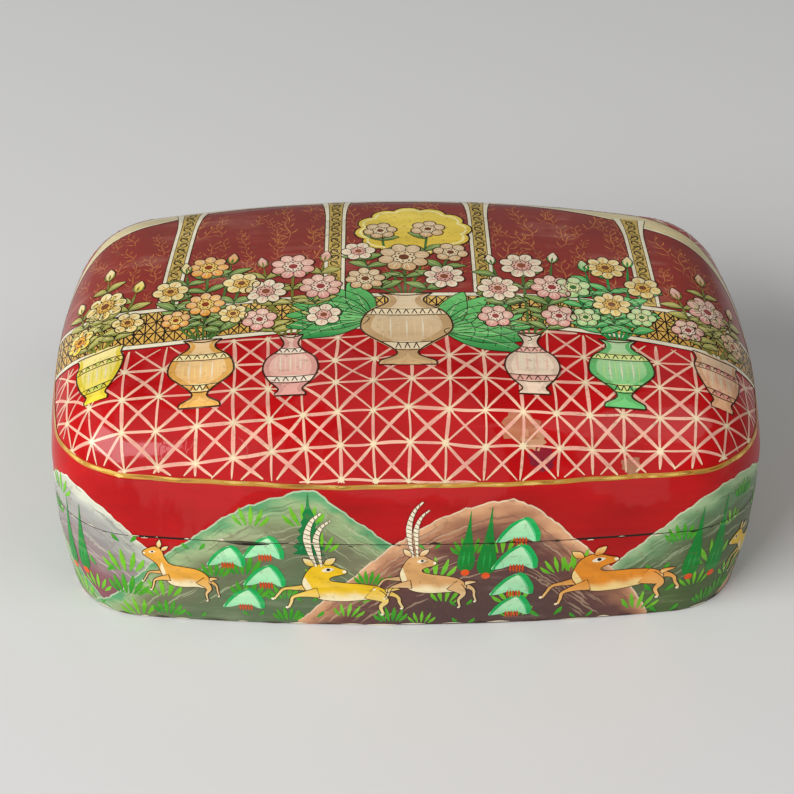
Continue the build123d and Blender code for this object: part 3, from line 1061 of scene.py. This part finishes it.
def pulled(layer, lines, width, tint, coat, tip, taper, midway=None, share=0.0, seed=1, unevenness=0.17):
    """Lays many strokes along lines that are ready in millimetres, each of its own breadth by chance."""
    hand = random.Random(seed)
    points, edges, broad = [], [], []
    for line in lines:
        start = len(points)
        points += [tuple(p) for p in line]
        edges += [(start + k, start + k + 1) for k in range(len(line) - 1)]
        broad += [hand.uniform(1 - unevenness, 1 + unevenness)] * len(line)
    run_tree(layer, flat_object(points, edges, tint=[tint] * len(points), broad=broad), pull_strokes, coat,
             {"Width": width, "Tip": tip, "Taper": taper, "Finish": lid_paint, "Midway tint": midway or tint,
              "Midway share": share})


lid_paint = paint("lid_paint", streaks=26.0)
gold_height = 56.0
rail_top_line = smooth([
    (-132, 12), (-120, 4), (-111, -1), (-101, -6), (-90, -9.3), (-73, -9.2), (-30, -7.4), (0, -6.8),
    (43, -6.6), (73, -9.6), (88, -11.4), (103, -11.6), (114, -9.5), (124, -3), (132, 6)])
rail_foot_line = smooth([
    (-134, -8), (-122, -15), (-114, -19), (-104, -23.4), (-90, -27), (-74, -27.4), (-30, -24.6), (0, -23.6),
    (42, -23.4), (71, -27), (86, -29.4), (100, -29.2), (112, -26), (124, -19), (134, -12)])
border_line = smooth([
    (-117, 2), (-111, 18), (-104, 30), (-96, 36.4), (-88, 39.4), (-80, 42.4), (-70, 46.4), (-60, 50.4),
    (-46, 52.6), (-30, 53.2), (-21, 52.4), (-10, 54), (10, 54), (24, 52.6), (35, 53), (45, 51.0), (57, 47.4),
    (69.5, 42.4), (76.5, 38.8), (83.5, 35.4), (89.5, 32.8), (94, 30), (100, 25), (106, 16), (110, 3),
    (113, -8)])
cell_along, cell_across, first_row = 10.3, 10.2, -46.6
field_left, field_right = -116, 112


def above(line, x, y, room):
    """True where a place on the flat drawing is over a line that runs from left to right."""
    return y > np.interp(x, *line.T) + room


def in_lattice(x, y):
    """True where the lattice shows: over the gold line, and clear of the rail, the field and its border."""
    room = 3.4 + 5.5 * np.clip((np.abs(x) - 48) / 20, 0, 1)
    in_field = ((x > field_left) & (x < field_right) & above(rail_top_line, x, y, -3)
                & ~above(border_line, x, y, room))
    on_band = above(rail_foot_line, x, y, -0.8) & ~above(rail_top_line, x, y, 0.8)
    return (height_on_lid(x, y) > gold_height + 0.9) & ~in_field & ~on_band


def knot_at(i, j):
    """Where the painter set a knot of the lattice: on a square net that wanders with the hand."""
    own = random.Random(1000 * i + j)
    x, y = cell_along * (i + 0.06), first_row + cell_across * j + 0.02 * cell_along * i
    return np.array([x + 0.9 * sin(0.9 * i + 0.7 * j) + own.uniform(-0.45, 0.45),
                     y + 0.8 * sin(0.6 * i - 0.8 * j + 1) + own.uniform(-0.45, 0.45)])


lattice_lines, knots = [], []
for i in range(-15, 16):
    for j in range(-10, 14):
        start = knot_at(i, j)
        if in_lattice(start[:1], start[1:])[0]:
            knots.append((*start, chance.uniform(0.7, 1.15), chance.uniform(0, 1)))
        for a, b in ((1, 0), (0, 1), (1, 1), (1, -1)):
            t = np.linspace(-0.10, 1.10, 15)[:, None]
            line = start + (knot_at(i + a, j + b) - start) * t
            line += np.array([-b, a]) * (chance.uniform(-0.35, 0.35) * 4 * t * (1 - t))
            shown = line[in_lattice(*line.T)]
            if len(shown) > 3:
                lattice_lines.append(shown)
lattice = Layer()
for x, y, size, tint in ((31.5, -61.0, 6.2, ink(178, 112, 78)), (35.5, -64.5, 4.2, ink(196, 150, 112)),
                         (38.0, -70.0, 4.6, ink(120, 22, 44)), (64, -70.5, 3.4, ink(176, 128, 98)),
                         (-40, -66, 1.0, ink(214, 160, 130))):
    reach = [size * (0.85 + 0.13 * sin(2.1 * k + x) + 0.08 * sin(5.3 * k + y)) for k in range(21)]
    fill(lattice, round_line(x, y, reach, flat=0.9), tint, mixed(tint, ink(168, 40, 34), 0.35), coat=0.5)
for lines, width, tint, coat, midway, seed in (
        (lattice_lines[::2], 0.95, ink(234, 206, 168), 1.0, ink(222, 150, 134), 1),
        (lattice_lines[1::2], 0.80, ink(232, 200, 164), 1.5, ink(228, 168, 146), 6)):
    pulled(lattice, lines, width, tint, coat, 0.40, 0.30, midway, share=0.85, seed=seed, unevenness=0.3)


def knot(layer):
    """A blob of pale paint where eight strokes meet."""
    fill(layer, round_line(0, 0, [0.62 + 0.40 * (k % 2) for k in range(16)]), ink(232, 212, 172))


set_out(lattice, knot, knots, lid_paint, 2.1, seed=5, lean=0.3)
lay(lattice, "lattice", lid_point, lid_paint)

gold_paint = paint("gold_paint", streaks=40.0, gloss=0.12)
gold_paint.node_tree.nodes["Principled BSDF"].inputs["Metallic"].default_value = 0.25
gold = Layer()
round_lid = np.linspace(0, way_round, 420)
turn = round_lid * tau * mm / girth
wobble = gold_height + 0.25 * np.sin(5 * turn) + 0.18 * np.sin(12 * turn + 1) + 0.10 * np.sin(41 * turn)
gold_line = np.stack([round_lid, wobble], -1)
draw_line(gold, gold_line, 1.4, ink(196, 142, 56), 4.0)
# Short touches along the gold line in tints from dark to light gold: the darker ones are uneven paint, the
# lighter ones painted glints.
for start in range(0, 414, 3):
    touch_and_glint = gold_line[start:start + chance.randrange(3, 7)] + (0, chance.uniform(-0.35, 0.4))
    stroke(gold, touch_and_glint, chance.uniform(0.5, 1.1),
           mixed(ink(156, 106, 44), ink(240, 202, 108), chance.random()), coat=4.3, taper=0.4, ready=True)
lay(gold, "gold_line", wall_point, gold_paint)


# The upper field, its sprigs, and the border behind it
# Behind the rail the ground is a duller maroon, sown with thin gold sprigs, and a pale border that swells
# between the columns closes it along the back and the ends.
field_paint = paint("field_paint", streaks=22.0)
field = Layer()
outer = border_line[border_line[:, 0] < field_right]
inner = rail_top_line[(rail_top_line[:, 0] > field_left + 1) & (rail_top_line[:, 0] < field_right)]
fill(field, np.concatenate([outer, inner[::-1]]), ink(148, 48, 40), ink(136, 60, 52), coat=0)
lay(field, "upper_field", lid_point, field_paint)


def sprig(layer):
    """A sprig: one bent stem with short leaves in pairs."""
    stroke(layer, [(0, 0), (0.9, 3.6), (0.2, 7.4), (1.2, 11.0)], 0.30, ink(190, 116, 66), taper=0.4)
    for k in range(6):
        x, y, way = 0.5 + 0.25 * sin(k), 1.6 + 1.6 * k, 1 if k % 2 else -1
        stroke(layer, [(x, y), (x + way * 1.3, y + 0.8), (x + way * (2.4 - 0.2 * k), y + 2.2)], 0.34,
               ink(200, 128, 70), taper=0.5)


spots = []
for i in range(-16, 17):
    for j in range(-1, 8):
        x, y = 7.0 * i + chance.uniform(-2.4, 2.4), -6 + 8.2 * j + chance.uniform(-2.2, 2.2)
        if abs(x) < 103 and above(rail_top_line, x, y, 1.5) and not above(border_line, x, y, -9.5):
            spots.append((x, y, chance.uniform(0.75, 1.25), chance.uniform(-0.3, 0.3)))
sprigs = Layer()
set_out(sprigs, sprig, spots, field_paint, 0.8, seed=4, lean=0.4)
lay(sprigs, "gold_sprigs", lid_point, field_paint)

column_places = ((-71.5, -67.0), (-21.5, -20.8), (23.8, 24.2), (73.8, 73.2))
cream, pale_yellow, dark_line = ink(232, 222, 192), ink(204, 172, 88), ink(30, 24, 16)
border = Layer()
near_column = np.min([np.abs(border_line[:, 0] - top) for _, top in column_places], axis=0)
away, far_out = sideways(border_line), np.abs(border_line[:, 0])
reach = 3.0 + 1.2 * np.clip(1 - near_column / 9, 0, 1) + 4.6 * np.clip((far_out - 48) / 20, 0, 1)
reach = np.clip(reach - 0.36 * np.clip(far_out - 92, 0, 20), 1.8, 9)
edge, outside, inside = map(over_gold, (
    border_line, border_line + away * reach[:, None], border_line - away * 0.4))
fill(border, np.concatenate([outside, edge[::-1]]), ink(214, 194, 134), ink(226, 210, 164), coat=1.4)
draw_line(border, edge, 0.9, ink(240, 228, 196), 1.9)
draw_line(border, outside, 0.32, dark_line, 2.4)
draw_line(border, inside, 0.32, dark_line, 2.4)
lay(border, "back_border", lid_point, lid_paint)


# The rail and the columns
# The rail is an ochre band with a black net drawn over it, between two cream edges. The four columns have a
# yellow middle with a black scroll, and flare where they meet the border.
rail = Layer()
foot, head = over_gold(rail_foot_line), over_gold(rail_top_line)
fill(rail, np.concatenate([foot, head[::-1]]), ink(214, 162, 70), ink(230, 190, 106), coat=1.2)
for line, way in ((foot, 1), (head, -1)):
    draw_line(rail, line + (0, way * 0.75), 1.7, cream, 2.4)
    for off in (-0.15, 1.7):
        draw_line(rail, line + (0, way * off), 0.32, dark_line, 3.0)


def on_rail(x, share):
    """A place on the rail, by millimetres along it and by a share of its height."""
    low, high = np.interp(x, *rail_foot_line.T) + 1.6, np.interp(x, *rail_top_line.T) - 1.6
    return x, low + (high - low) * share


net, mesh_wide = [], 3.1
for k in range(-40, 41):
    x = k * mesh_wide + chance.uniform(-0.35, 0.35)
    net.append([on_rail(x, t) for t in np.linspace(0, 1, 9)])
    for row in range(3):
        for a, b in ((row / 3, (row + 1) / 3), ((row + 1) / 3, row / 3)):
            slip = chance.uniform(-0.4, 0.4)
            net.append([on_rail(x + slip + mesh_wide * t, a + (b - a) * t)
                        for t in np.linspace(-0.05, 1.05, 4)])
for row in range(1, 3):
    for k in range(-40, 40):
        net.append([on_rail((k + t) * mesh_wide, row / 3 + chance.uniform(-0.02, 0.02))
                    for t in np.linspace(-0.1, 1.1, 4)])
net = [[p for p in line if height_on_lid(*p) > gold_height - 0.1] for line in net]
pulled(rail, [line for line in net if len(line) > 1], 0.46, dark_line, 2.0, 0.6, 0.2, seed=2)
lay(rail, "rail", lid_point, lid_paint)


def scroll(layer, foot, top):
    """A vine in black that winds up a column, with a curl in every bend."""
    bends = int((top[1] - foot[1]) / 3.4)
    bend = (top[1] - foot[1]) / bends
    angle, radius = np.linspace(-0.6 * pi, 1.35 * pi, 15), np.linspace(1.7, 0.5, 15)
    lines = []
    for k in range(bends):
        way, y = -1 if k % 2 else 1, foot[1] + (k + 0.5) * bend
        x = np.interp(y, (foot[1], top[1]), (foot[0], top[0]))
        lines += [np.stack([x + way * (0.1 - radius * np.cos(angle)), y + radius * np.sin(angle)], -1),
                  [(x + way * 1.6, y - bend * 0.5), (x + way * 0.3, y), (x - way * 1.6, y + bend * 0.5)]]
    pulled(layer, lines, 0.46, dark_line, 4.6, 0.5, 0.25, seed=3)


columns = Layer()
levels = np.linspace(0, 1, 24)
for foot_x, top_x in column_places:
    foot, top = np.interp(foot_x, *rail_top_line.T) + 0.4, np.interp(top_x, *border_line.T) + 3.2
    x, y = foot_x + (top_x - foot_x) * levels, foot + (top - foot) * levels
    for half, flare, low, high, coat in (
            (3.35, 2.0, dark_line, dark_line, 2.8), (3.1, 2.0, cream, cream, 3.2),
            (2.1, 0.8, dark_line, dark_line, 3.6),
            (1.88, 0.8, pale_yellow, mixed(pale_yellow, dark_line, 0.12), 4.0)):
        reach = half + flare * np.clip((levels - 0.72) / 0.28, 0, 1) ** 2
        left, right = (np.stack([x + way * reach, y], -1) for way in (-1, 1))
        fill(columns, np.concatenate([left, right[::-1]]), low, high, coat=coat)
    scroll(columns, (foot_x, foot + 1), (top_x, top - 1))
lay(columns, "columns", lid_point, lid_paint)


# The vases of flowers
# Seven vases stand in a row across the lid, each with its bouquet: stems first, then leaves, then blossoms in
# two or three tints, and at last a line of dark brown round every shape with the tip of the brush.
def leaf(layer, foot, tip, belly, dark, light, bend, coat):
    """A leaf with a dark edge and a pale rib."""
    line = leaf_line(foot, tip, belly, bend)
    fill(layer, line, dark, light, coat=coat, step=4)
    draw_round(layer, line, 0.30, leaf_edge, coat + 0.30)
    stroke(layer, [foot, (foot + tip) / 2 + square_to(tip - foot) * bend, foot + (tip - foot) * 0.9], 0.34,
           mixed(light, cream, 0.5), coat=coat + 0.4, taper=0.6)


def petal_line(x, y, radius, petals, depth, turn, flat=1.0):
    """The closed line of a round blossom: full petals with sharp notches between them."""
    angles = [k * tau / (petals * 8) for k in range(petals * 8)]
    reach = [radius * (1 - depth * (1 - abs(cos(petals * angle / 2)) ** 0.7)) for angle in angles]
    return round_line(x, y, reach, turn, flat)


def blossom(layer, x, y, radius, petals, outer, inner, heart, turn):
    """An open blossom seen from the front, with streaked petals, an inner ring, and a seeded heart."""
    def at(share, angle):
        return x + radius * share * cos(angle), y + radius * share * sin(angle)

    edge = petal_line(x, y, radius, petals, 0.26, turn)
    middle = petal_line(x, y, radius * 0.46, petals, 0.22, turn + pi / petals)
    fill(layer, edge, outer, mixed(outer, cream, 0.45), coat=6.0, step=3)
    for k in range(petals):
        axis = turn + k * tau / petals
        for off, far, tint in ((-0.16, 0.84, mixed(outer, cream, 0.75)), (0.0, 0.9, inner),
                               (0.16, 0.84, mixed(outer, inner, 0.5))):
            streak = [at(t, axis + off * 2.2 * t) for t in (0.36, 0.62, far)]
            stroke(layer, streak, 0.5, tint, coat=6.25, taper=0.5)
        notch = [at(t, axis + pi / petals) for t in (0.40, 0.74)]
        stroke(layer, notch, 0.34, petal_edge, coat=6.4, taper=0.5)
    draw_round(layer, edge, 0.40, petal_edge, 6.5)
    fill(layer, middle, inner, mixed(inner, outer, 0.4), coat=6.75, step=3)
    draw_round(layer, middle, 0.30, petal_edge, 7.0)
    fill(layer, petal_line(x, y, radius * 0.20, 6, 0.1, turn), heart, coat=7.25, step=3)
    for k in range(petals):
        seed = petal_line(*at(0.31, turn + (k + 0.5) * tau / petals), radius * 0.045, 3, 0, 0)
        fill(layer, seed, petal_edge, coat=7.25, step=3)


def bud(layer, foot, tip, belly, tint, green):
    """A closed bud in a green cup."""
    line = leaf_line(foot, tip, belly)
    fill(layer, line, tint, mixed(tint, cream, 0.5), coat=6.0, step=4)
    draw_round(layer, line, 0.32, petal_edge, 6.4)
    ahead, side = tip - foot, square_to(tip - foot) * belly
    for way in (-1, 0, 1):
        sepal = [foot, foot + ahead * 0.3 + side * 0.42 * way, foot + ahead * 0.55 + side * 0.34 * way]
        stroke(layer, sepal, 0.8, green, coat=6.7, taper=0.5)


def vase(layer, x, foot, high, wide, body, trim, shape):
    """A vase by shares of half its width and its height, with two bands and shading up both sides."""
    right, left = (smooth([(x + way * wide / 2 * a, foot + high * b) for a, b in shape[::way]], step=1.2)
                   for way in (1, -1))
    line = np.concatenate([right, left])
    widths, heights = zip(*shape)
    fill(layer, line, body, mixed(body, cream, 0.5), coat=5.6, step=3)
    for edge, way in ((right, -1), (left, 1)):
        stroke(layer, edge + (way * wide * 0.06, 0), wide * 0.11, mixed(body, petal_edge, 0.18), coat=5.85,
               taper=0.2, ready=True)
    for k in range(7):
        at = x + wide * (k - 3) * 0.085
        flute = [(at, foot + high * 0.34), (at + (k - 3) * 0.1, foot + high * 0.5), (at, foot + high * 0.66)]
        stroke(layer, flute, 0.55, mixed(body, cream, 0.85) if k % 2 else mixed(body, trim, 0.5), coat=6.05,
               taper=0.5)

    def thin(points, width=0.32, coat=6.7):
        stroke(layer, points, width, petal_edge, coat=coat, taper=0)

    for band in ((0.20, 0.30), (0.68, 0.77)):
        half_low, half_top = (np.interp(level, heights, widths) * wide / 2 for level in band)
        low, top = (foot + high * level for level in band)
        corners = [(x - half_low, low), (x + half_low, low), (x + half_top, top), (x - half_top, top)]
        fill(layer, corners, trim, coat=6.3, step=4)
        for y, half in ((low, half_low), (top, half_top)):
            thin([(x - half, y), (x, y - 0.5), (x + half, y)], 0.34)
        steps = max(3, int(half_low * 2 / 2.4))
        for k in range(steps):
            at = x + (k + 0.5 - steps / 2) * 2 * half_low / steps * 0.92
            thin([(at - 0.8, low + 0.3), (at, top - 0.5)])
            thin([(at, top - 0.5), (at + 0.8, low + 0.3)])
    draw_round(layer, line, 0.50, petal_edge, 7.0)
    mouth = widths[-1] * wide / 2
    thin([(x - mouth, foot + high), (x, foot + high - 1.2), (x + mouth, foot + high)], 0.45, 7.0)


def bouquet(layer, x, mouth, heads, tones, green, seed):
    """Stems from a vase's mouth to a blossom or a bud each, with leaves that grow to both sides."""
    hand = random.Random(seed)
    number = 0
    for dx, dy, size in heads:
        foot, tip = np.array([x + dx * 0.10, mouth - 1.0]), np.array([x + dx, mouth + dy])
        middle = foot + (tip - foot) * 0.5 + (dx * 0.16, 0.0)
        stem = smooth([foot, middle, tip])
        stroke(layer, stem, 0.8, green[0], coat=4.6, taper=0.1, ready=True)
        for share in (0.46, 0.66, 0.84):
            at = stem[int(share * (len(stem) - 1))]
            for way in (-1, 1):
                if hand.random() < 0.84:
                    end = at + (way * hand.uniform(5.2, 7.6), hand.uniform(1.0, 4.6))
                    leaf(layer, at, end, hand.uniform(2.6, 3.6), *green, way * 0.6, 5.0 + 0.08 * (number % 6))
                    number += 1
        tone = tones[number % len(tones)]
        if size > 3.5:
            blossom(layer, *tip, size, 8 if size > 5.8 else 6, *tone, hand.uniform(0, 1))
        else:
            way = (tip - middle) / np.hypot(*(tip - middle))
            bud(layer, tip, tip + way * size * 2.2, size * 1.15, tone[0], green[0])


leaf_edge, petal_edge = ink(38, 34, 20), ink(58, 32, 18)
urn = [(0.62, 0.0), (0.60, 0.05), (0.24, 0.13), (0.34, 0.22), (0.92, 0.42), (1.0, 0.56), (0.84, 0.72),
       (0.46, 0.84), (0.40, 0.92), (0.60, 1.0)]
bottle = [(0.56, 0.0), (0.54, 0.04), (0.42, 0.09), (0.80, 0.24), (1.0, 0.42), (0.86, 0.60), (0.42, 0.74),
          (0.26, 0.86), (0.46, 1.0)]
pot = [(0.50, 0.0), (0.50, 0.06), (0.40, 0.12), (0.66, 0.28), (0.90, 0.50), (1.0, 0.72), (0.88, 0.86),
       (0.98, 1.0)]
yellow_head = (ink(240, 214, 66), ink(232, 150, 44), ink(122, 66, 28))
orange_head = (ink(236, 152, 48), ink(244, 214, 120), ink(140, 60, 30))
straw_head = (ink(240, 216, 138), ink(222, 168, 70), ink(120, 70, 36))
pink_head = (ink(232, 156, 144), ink(244, 222, 194), ink(150, 60, 56))
cream_head = (ink(240, 224, 190), ink(226, 160, 146), ink(140, 78, 50))
tan_head = (ink(212, 168, 116), ink(238, 218, 176), ink(110, 60, 34))
green_head = (ink(170, 220, 140), ink(238, 230, 170), ink(60, 110, 52))
peach_head = (ink(240, 180, 132), ink(240, 214, 170), ink(168, 72, 50))
moss, fresh = (ink(72, 112, 48), ink(150, 176, 92)), (ink(30, 140, 66), ink(120, 208, 120))
olive = (ink(122, 124, 46), ink(204, 196, 104))
small_heads = ((-8.5, 10, 4.6), (8.5, 11.5, 4.6), (-11, 25, 5.6), (10.5, 27, 5.8), (0, 17, 6.0), (0, 37, 6.4),
               (-6.5, 34, 3.0), (7, 38, 3.0))
round_heads = ((-9.5, 8, 5.4), (9.5, 9, 5.4), (-8, 22, 6.4), (8.5, 23.5, 6.6), (0, 35, 7.0), (-9, 35, 2.8),
               (9.5, 37, 3.0))
low_heads = ((-8, 9, 5.2), (8, 10, 5.0), (0, 21, 7.0), (-9, 24, 3.0), (9.5, 25, 3.0), (0, 35, 3.2))
wide_heads = ((-12, 8, 6.2), (12, 9, 6.4), (-14, 24, 5.4), (14.5, 23, 5.6), (0, 20, 8.2), (-7, 37, 5.4),
              (8, 38, 5.6))

plants = Layer()
middle_x, middle_y, flatness = 3.4, 30, 0.9
medallion, inner_line = (petal_line(middle_x, middle_y, radius, 12, 0.10, 0.1, flatness)
                         for radius in (18.6, 16.7))
fill(plants, medallion, ink(226, 190, 62), ink(238, 212, 92), coat=4.4, step=3)
draw_round(plants, medallion, 0.55, petal_edge, 5.0)
draw_line(plants, inner_line, 0.8, ink(246, 232, 160), 4.7)
for k in range(150):
    angle, reach = chance.uniform(0, tau), 15.4 * sqrt(chance.random())
    x, y = middle_x + reach * cos(angle), middle_y + flatness * reach * sin(angle)
    dash = [(x, y), (x + chance.uniform(-0.8, 0.8), y + chance.uniform(0.3, 0.9))]
    stroke(plants, dash, 0.42, ink(120, 88, 30), coat=4.8, taper=0.4)


def fan(layer, foot, reach, way):
    """A spread of broad net-veined leaves that lies to one side of the middle vase."""
    for k in range(7):
        angle = pi / 2 - way * (0.25 + 0.30 * k)
        tip = foot + (reach * cos(angle), reach * 0.74 * sin(angle))
        leaf(layer, foot, tip, reach * 0.34, ink(40, 132, 64), ink(112, 200, 110), 0.5 * way, 4.9 + 0.1 * k)
        for t in (0.35, 0.5, 0.65, 0.8):
            at, ahead = foot + (tip - foot) * t, tip - foot
            across = np.array([-ahead[1], ahead[0]]) / reach * 1.9 * (1 - abs(t - 0.5))
            stroke(layer, [at - across, at + across], 0.32, ink(24, 84, 40), coat=5.65, taper=0.3)


fan(plants, np.array([11.0, -25.0]), 26, 1)
fan(plants, np.array([-11.0, -19.0]), 25, -1)
low, slim = (21, 16, pot, low_heads), (25, 16, bottle, round_heads)
tall, broad = (27, 19, urn, small_heads), (33, 27, urn, wide_heads)
for seed, (x, foot, form, body, trim, tones, green) in enumerate((
        (-91, -46, low, ink(236, 212, 58), ink(200, 206, 96), (yellow_head, straw_head), olive),
        (-60, -53, tall, ink(236, 176, 84), ink(244, 224, 160), (orange_head, straw_head), moss),
        (-34, -51, slim, ink(230, 164, 150), ink(244, 226, 200), (pink_head, cream_head), olive),
        (0, -40, broad, ink(206, 168, 118), ink(236, 216, 176), (tan_head, cream_head), moss),
        (36, -51, slim, ink(238, 208, 180), ink(226, 168, 150), (cream_head, pink_head), moss),
        (62, -54, tall, ink(104, 196, 112), ink(214, 226, 140), (green_head, straw_head), fresh),
        (92, -50, low, ink(240, 182, 136), ink(236, 150, 134), (peach_head, pink_head), olive)), start=1):
    high, wide, shape, heads = form
    vase(plants, x, foot, high, wide, body, trim, shape)
    bouquet(plants, x, foot + high, heads, tones, green, seed)
lay(plants, "vases_of_flowers", lid_point, lid_paint)


# The floor, the lamps and the camera
# A plain pale floor, a window on the left, a weaker soft lamp on the right, and a pale even room.
bpy.ops.mesh.primitive_plane_add(size=6.0)
floor = bpy.context.object
floor.name = "floor"
pale = bpy.data.materials.new("pale_floor")
pale.use_nodes = True
floor_shader = pale.node_tree.nodes["Principled BSDF"].inputs
floor_shader["Base Color"].default_value = (0.66, 0.65, 0.63, 1)
floor_shader["Roughness"].default_value = 0.75
floor.data.materials.append(pale)

room = bpy.data.worlds.new("room")
bpy.context.scene.world = room
room.use_nodes = True
room_light = room.node_tree.nodes["Background"].inputs
room_light["Color"].default_value = (0.93, 0.95, 1.0, 1)
room_light["Strength"].default_value = 0.25

box_middle = Vector((0, 0, 0.04))
for name, place, size, power, colour in (
        ("window", (-1.42, -1.10, 1.12), (1.75, 0.95), 57.0, (0.97, 0.98, 1.0)),
        ("fill", (0.8, -0.6, 1.3), (1.0, 0.9), 5.0, (1.0, 0.97, 0.93))):
    light = bpy.data.lights.new(name, "AREA")
    light.shape = "RECTANGLE"
    light.size, light.size_y = size
    light.energy = power
    light.color = colour
    lamp = bpy.data.objects.new(name, light)
    lamp.location = place
    lamp.rotation_euler = (box_middle - lamp.location).to_track_quat("-Z", "Y").to_euler()
    bpy.context.collection.objects.link(lamp)

camera = bpy.data.objects.new("camera", bpy.data.cameras.new("camera"))
bpy.context.collection.objects.link(camera)
pitch, yaw, tilt = radians(36.92), radians(-1.59), radians(-0.59)
back = Vector((sin(yaw) * cos(pitch), -cos(yaw) * cos(pitch), sin(pitch)))
level = Vector((cos(yaw), sin(yaw), 0))
upright = back.cross(level)
right = level * cos(tilt) - upright * sin(tilt)
upright = level * sin(tilt) + upright * cos(tilt)
camera.matrix_world = Matrix((right, upright, back)).transposed().to_4x4()
looked_at, away = Vector((-0.0025, -0.0174, 0.0486)), 0.6567
camera.location = looked_at + back * away
camera.data.lens = 97.5
camera.data.sensor_width = 36
camera.data.clip_start = 0.05
bpy.context.scene.camera = camera
bpy.context.scene.view_settings.view_transform = "Standard"
